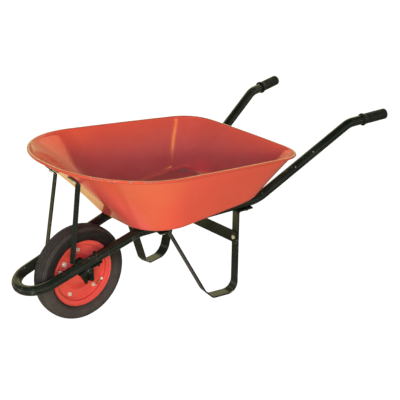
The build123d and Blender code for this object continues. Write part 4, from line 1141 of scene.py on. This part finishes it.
me = bpy.data.meshes.new("floor")
s = 14.0
me.from_pydata([(-s, -s, 0), (s, -s, 0), (s, s, 0), (-s, s, 0)], [], [(0, 1, 2, 3)])
floor = bpy.data.objects.new("floor", me)
scene.collection.objects.link(floor)
fm = bpy.data.materials.new("floor_white")
fm.use_nodes = True
nt = fm.node_tree
pb = nt.nodes["Principled BSDF"]
pb.inputs["Base Color"].default_value = (0.28, 0.28, 0.28, 1)
pb.inputs["Roughness"].default_value = 0.9
pb.inputs["Specular IOR Level"].default_value = 0.2
fgeo = nt.nodes.new("ShaderNodeTexCoord")
fsep = nt.nodes.new("ShaderNodeSeparateXYZ")
nt.links.new(fgeo.outputs["Object"], fsep.inputs[0])
fst = nt.nodes.new("ShaderNodeMapRange")
fst.interpolation_type = "SMOOTHSTEP"
nt.links.new(fsep.outputs[1], fst.inputs["Value"])
fst.inputs["From Min"].default_value = 0.34
fst.inputs["From Max"].default_value = 0.56
fsx = nt.nodes.new("ShaderNodeMapRange")
fsx.interpolation_type = "SMOOTHSTEP"
nt.links.new(fsep.outputs[0], fsx.inputs["Value"])
fsx.inputs["From Min"].default_value = -1.5
fsx.inputs["From Max"].default_value = -1.0
fmu = nt.nodes.new("ShaderNodeMath")
fmu.operation = "MULTIPLY"
nt.links.new(fst.outputs[0], fmu.inputs[0])
nt.links.new(fsx.outputs[0], fmu.inputs[1])
# painted light and shade: the floor's glow, dim near and under the barrow, bright beyond
fmx = nt.nodes.new("ShaderNodeMix")
fmx.data_type = "RGBA"
nt.links.new(fmu.outputs[0], fmx.inputs[0])
fmx.inputs[6].default_value = (*FLOOR_NEAR, 1)
fmx.inputs[7].default_value = (*FLOOR_COL, 1)
nt.links.new(fmx.outputs[2], pb.inputs["Emission Color"])
pb.inputs["Emission Strength"].default_value = 1.0
# the floor is exposed to plain white for the camera
fl_out = nt.nodes["Material Output"]
fl_em = nt.nodes.new("ShaderNodeEmission")
fl_em.inputs["Color"].default_value = (1, 1, 1, 1)
fl_em.inputs["Strength"].default_value = 1.1
fl_mix = nt.nodes.new("ShaderNodeMixShader")
nt.links.new(nt.nodes.new("ShaderNodeLightPath").outputs["Is Camera Ray"], fl_mix.inputs[0])
nt.links.new(pb.outputs[0], fl_mix.inputs[1])
nt.links.new(fl_em.outputs[0], fl_mix.inputs[2])
nt.links.new(fl_mix.outputs[0], fl_out.inputs["Surface"])
me.materials.append(fm)

world = bpy.data.worlds.new("studio")
world.use_nodes = True
scene.world = world
nt = world.node_tree
nt.nodes.clear()


def wnode(kind, op=None, **vals):
    n = nt.nodes.new(kind)
    if op:
        n.operation = op
    for k, v in vals.items():
        s_ = n.inputs[int(k[1:])] if k[0] == "i" and k[1:].isdigit() else n.inputs[k]
        if isinstance(v, bpy.types.NodeSocket):
            nt.links.new(v, s_)
        else:
            s_.default_value = v
    return n


def wstep(val, lo, hi):
    n = nt.nodes.new("ShaderNodeMapRange")
    n.interpolation_type = "SMOOTHSTEP"
    nt.links.new(val, n.inputs["Value"])
    n.inputs["From Min"].default_value = lo
    n.inputs["From Max"].default_value = hi
    return n.outputs[0]


def wmix(fac, a, b):
    n = nt.nodes.new("ShaderNodeMix")
    n.data_type = "RGBA"
    nt.links.new(fac, n.inputs[0])
    for k, v in ((6, a), (7, b)):
        if isinstance(v, bpy.types.NodeSocket):
            nt.links.new(v, n.inputs[k])
        else:
            n.inputs[k].default_value = (*v, 1)
    return n.outputs[2]


wo = nt.nodes.new("ShaderNodeOutputWorld")
wdir = nt.nodes.new("ShaderNodeTexCoord").outputs["Generated"]
sx = wnode("ShaderNodeSeparateXYZ", i0=wdir)
flat = wnode("ShaderNodeCombineXYZ", i0=sx.outputs[0], i1=sx.outputs[1])
hor = wnode("ShaderNodeVectorMath", "NORMALIZE", i0=flat.outputs[0])
# a pale backdrop stands behind the object, from straight along the handles round to its far side
mid = math.radians((BACKDROP[0] + BACKDROP[1]) / 2)
half = (BACKDROP[1] - BACKDROP[0]) / 2
# its near edge leans: it stands further round low down
azim = wnode("ShaderNodeMath", "ARCTAN2", i0=sx.outputs[1], i1=sx.outputs[0])
lean = nt.nodes.new("ShaderNodeMapRange")
nt.links.new(sx.outputs[2], lean.inputs["Value"])
for k_, v_ in (("From Min", math.sin(math.radians(16.0))), ("From Max", math.sin(math.radians(27.5))), ("To Min", math.radians(0.5)), ("To Max", math.radians(-20.5))):
    lean.inputs[k_].default_value = v_
over = wnode("ShaderNodeMath", "SUBTRACT", i0=azim.outputs[0], i1=lean.outputs[0])
dotn = wnode("ShaderNodeVectorMath", "DOT_PRODUCT", i0=hor.outputs[0], i1=(math.cos(mid), math.sin(mid), 0))
inside = wstep(dotn.outputs["Value"], math.cos(math.radians(half + 1.5)), math.cos(math.radians(half - 1.5)))
below = wstep(sx.outputs[2], math.sin(math.radians(BACKDROP[2] + 6)), math.sin(math.radians(BACKDROP[2] - 6)))
past = wstep(over.outputs[0], math.radians(-1.5), math.radians(1.5))
sect = wnode("ShaderNodeMath", "MULTIPLY", i0=wnode("ShaderNodeMath", "MULTIPLY", i0=inside, i1=past).outputs[0], i1=below)
ceil = wstep(sx.outputs[2], math.sin(math.radians(38)), math.sin(math.radians(56)))
room = wmix(ceil, ROOM_SIDE, ROOM_TOP)
low = wstep(sx.outputs[2], math.sin(math.radians(20)), math.sin(math.radians(6)))
room = wmix(low, room, ROOM_LOW)
foot = wstep(sx.outputs[2], math.sin(math.radians(BACK_FOOT - 0.6)), math.sin(math.radians(BACK_FOOT + 0.6)))
back_ = wmix(foot, tuple(c * 0.66 for c in BACK_COL), BACK_COL)
env = wmix(sect.outputs[0], room, back_)
bg1 = wnode("ShaderNodeBackground", Color=env)
bg2 = wnode("ShaderNodeBackground", Color=(1, 1, 1, 1), Strength=1.1)
lp = nt.nodes.new("ShaderNodeLightPath")
mx = nt.nodes.new("ShaderNodeMixShader")
nt.links.new(lp.outputs["Is Camera Ray"], mx.inputs[0])
nt.links.new(bg1.outputs[0], mx.inputs[1])
nt.links.new(bg2.outputs[0], mx.inputs[2])
nt.links.new(mx.outputs[0], wo.inputs["Surface"])


def area(name, loc, target, size, power, color=(1, 1, 1), size_y=None):
    d = bpy.data.lights.new(name, "AREA")
    d.energy = power
    d.color = color
    d.shape = "RECTANGLE"
    d.size = size
    d.size_y = size_y or size
    o = bpy.data.objects.new(name, d)
    o.location = loc
    o.rotation_euler = (Vector(target) - Vector(loc)).to_track_quat("-Z", "Y").to_euler()
    scene.collection.objects.link(o)
    return o


def lamp(name, az, el, dist, w, h, power, color=(1, 1, 1), at=(0.0, 0.0, 0.4)):
    a_, e_ = math.radians(az), math.radians(el)
    p = Vector(at) + Vector((math.cos(a_) * math.cos(e_), math.sin(a_) * math.cos(e_), math.sin(e_))) * dist
    return area(name, p, at, w, power, color, h)


strip = lamp("strip", -50.8, 36.4, 4.0, 0.34, 0.70, 2.7, (0.55, 0.74, 0.08))
strip.rotation_euler.rotate_axis("Z", math.radians(-22.0))
strip.visible_diffuse = False
key = lamp("key", -130, 9.0, 4.0, 1.6, 0.9, 148, (1.0, 0.98, 0.56))
key.visible_glossy = False
fill = lamp("fill", -134, 21.0, 4.0, 1.6, 1.2, 186, (0.550, 0.415, 0.73))
fill.visible_glossy = False

# ---------------------------------------------------------------- the camera
cam = bpy.data.cameras.new("camera")
cam.sensor_width = 36.0
cam.lens = 1095.0908261156536 * 36.0 / 400.0
cam.clip_end = 100.0
co = bpy.data.objects.new("camera", cam)
a, el, roll = 0.7076324868879625, 0.3911100682715645, -0.0008544835238932403
back = Vector((-math.sin(a) * math.cos(el), -math.cos(a) * math.cos(el), math.sin(el)))
rt = Vector((math.cos(a), -math.sin(a), 0))
up = back.cross(rt)
r2 = rt * math.cos(roll) + up * math.sin(roll)
u2 = -rt * math.sin(roll) + up * math.cos(roll)
loc = Vector((-1837.697, -2772.381, 1783.955)) * 0.001 + Vector((AX * 0.001, 0, 0))
m = Matrix((r2, u2, back)).transposed().to_4x4()
m.translation = loc
co.matrix_world = m
scene.collection.objects.link(co)
scene.camera = co
scene.view_settings.view_transform = "Standard"
scene.view_settings.look = "None"
scene.view_settings.exposure = 0.0
scene.view_settings.gamma = 1.0

bpy.context.view_layer.update()
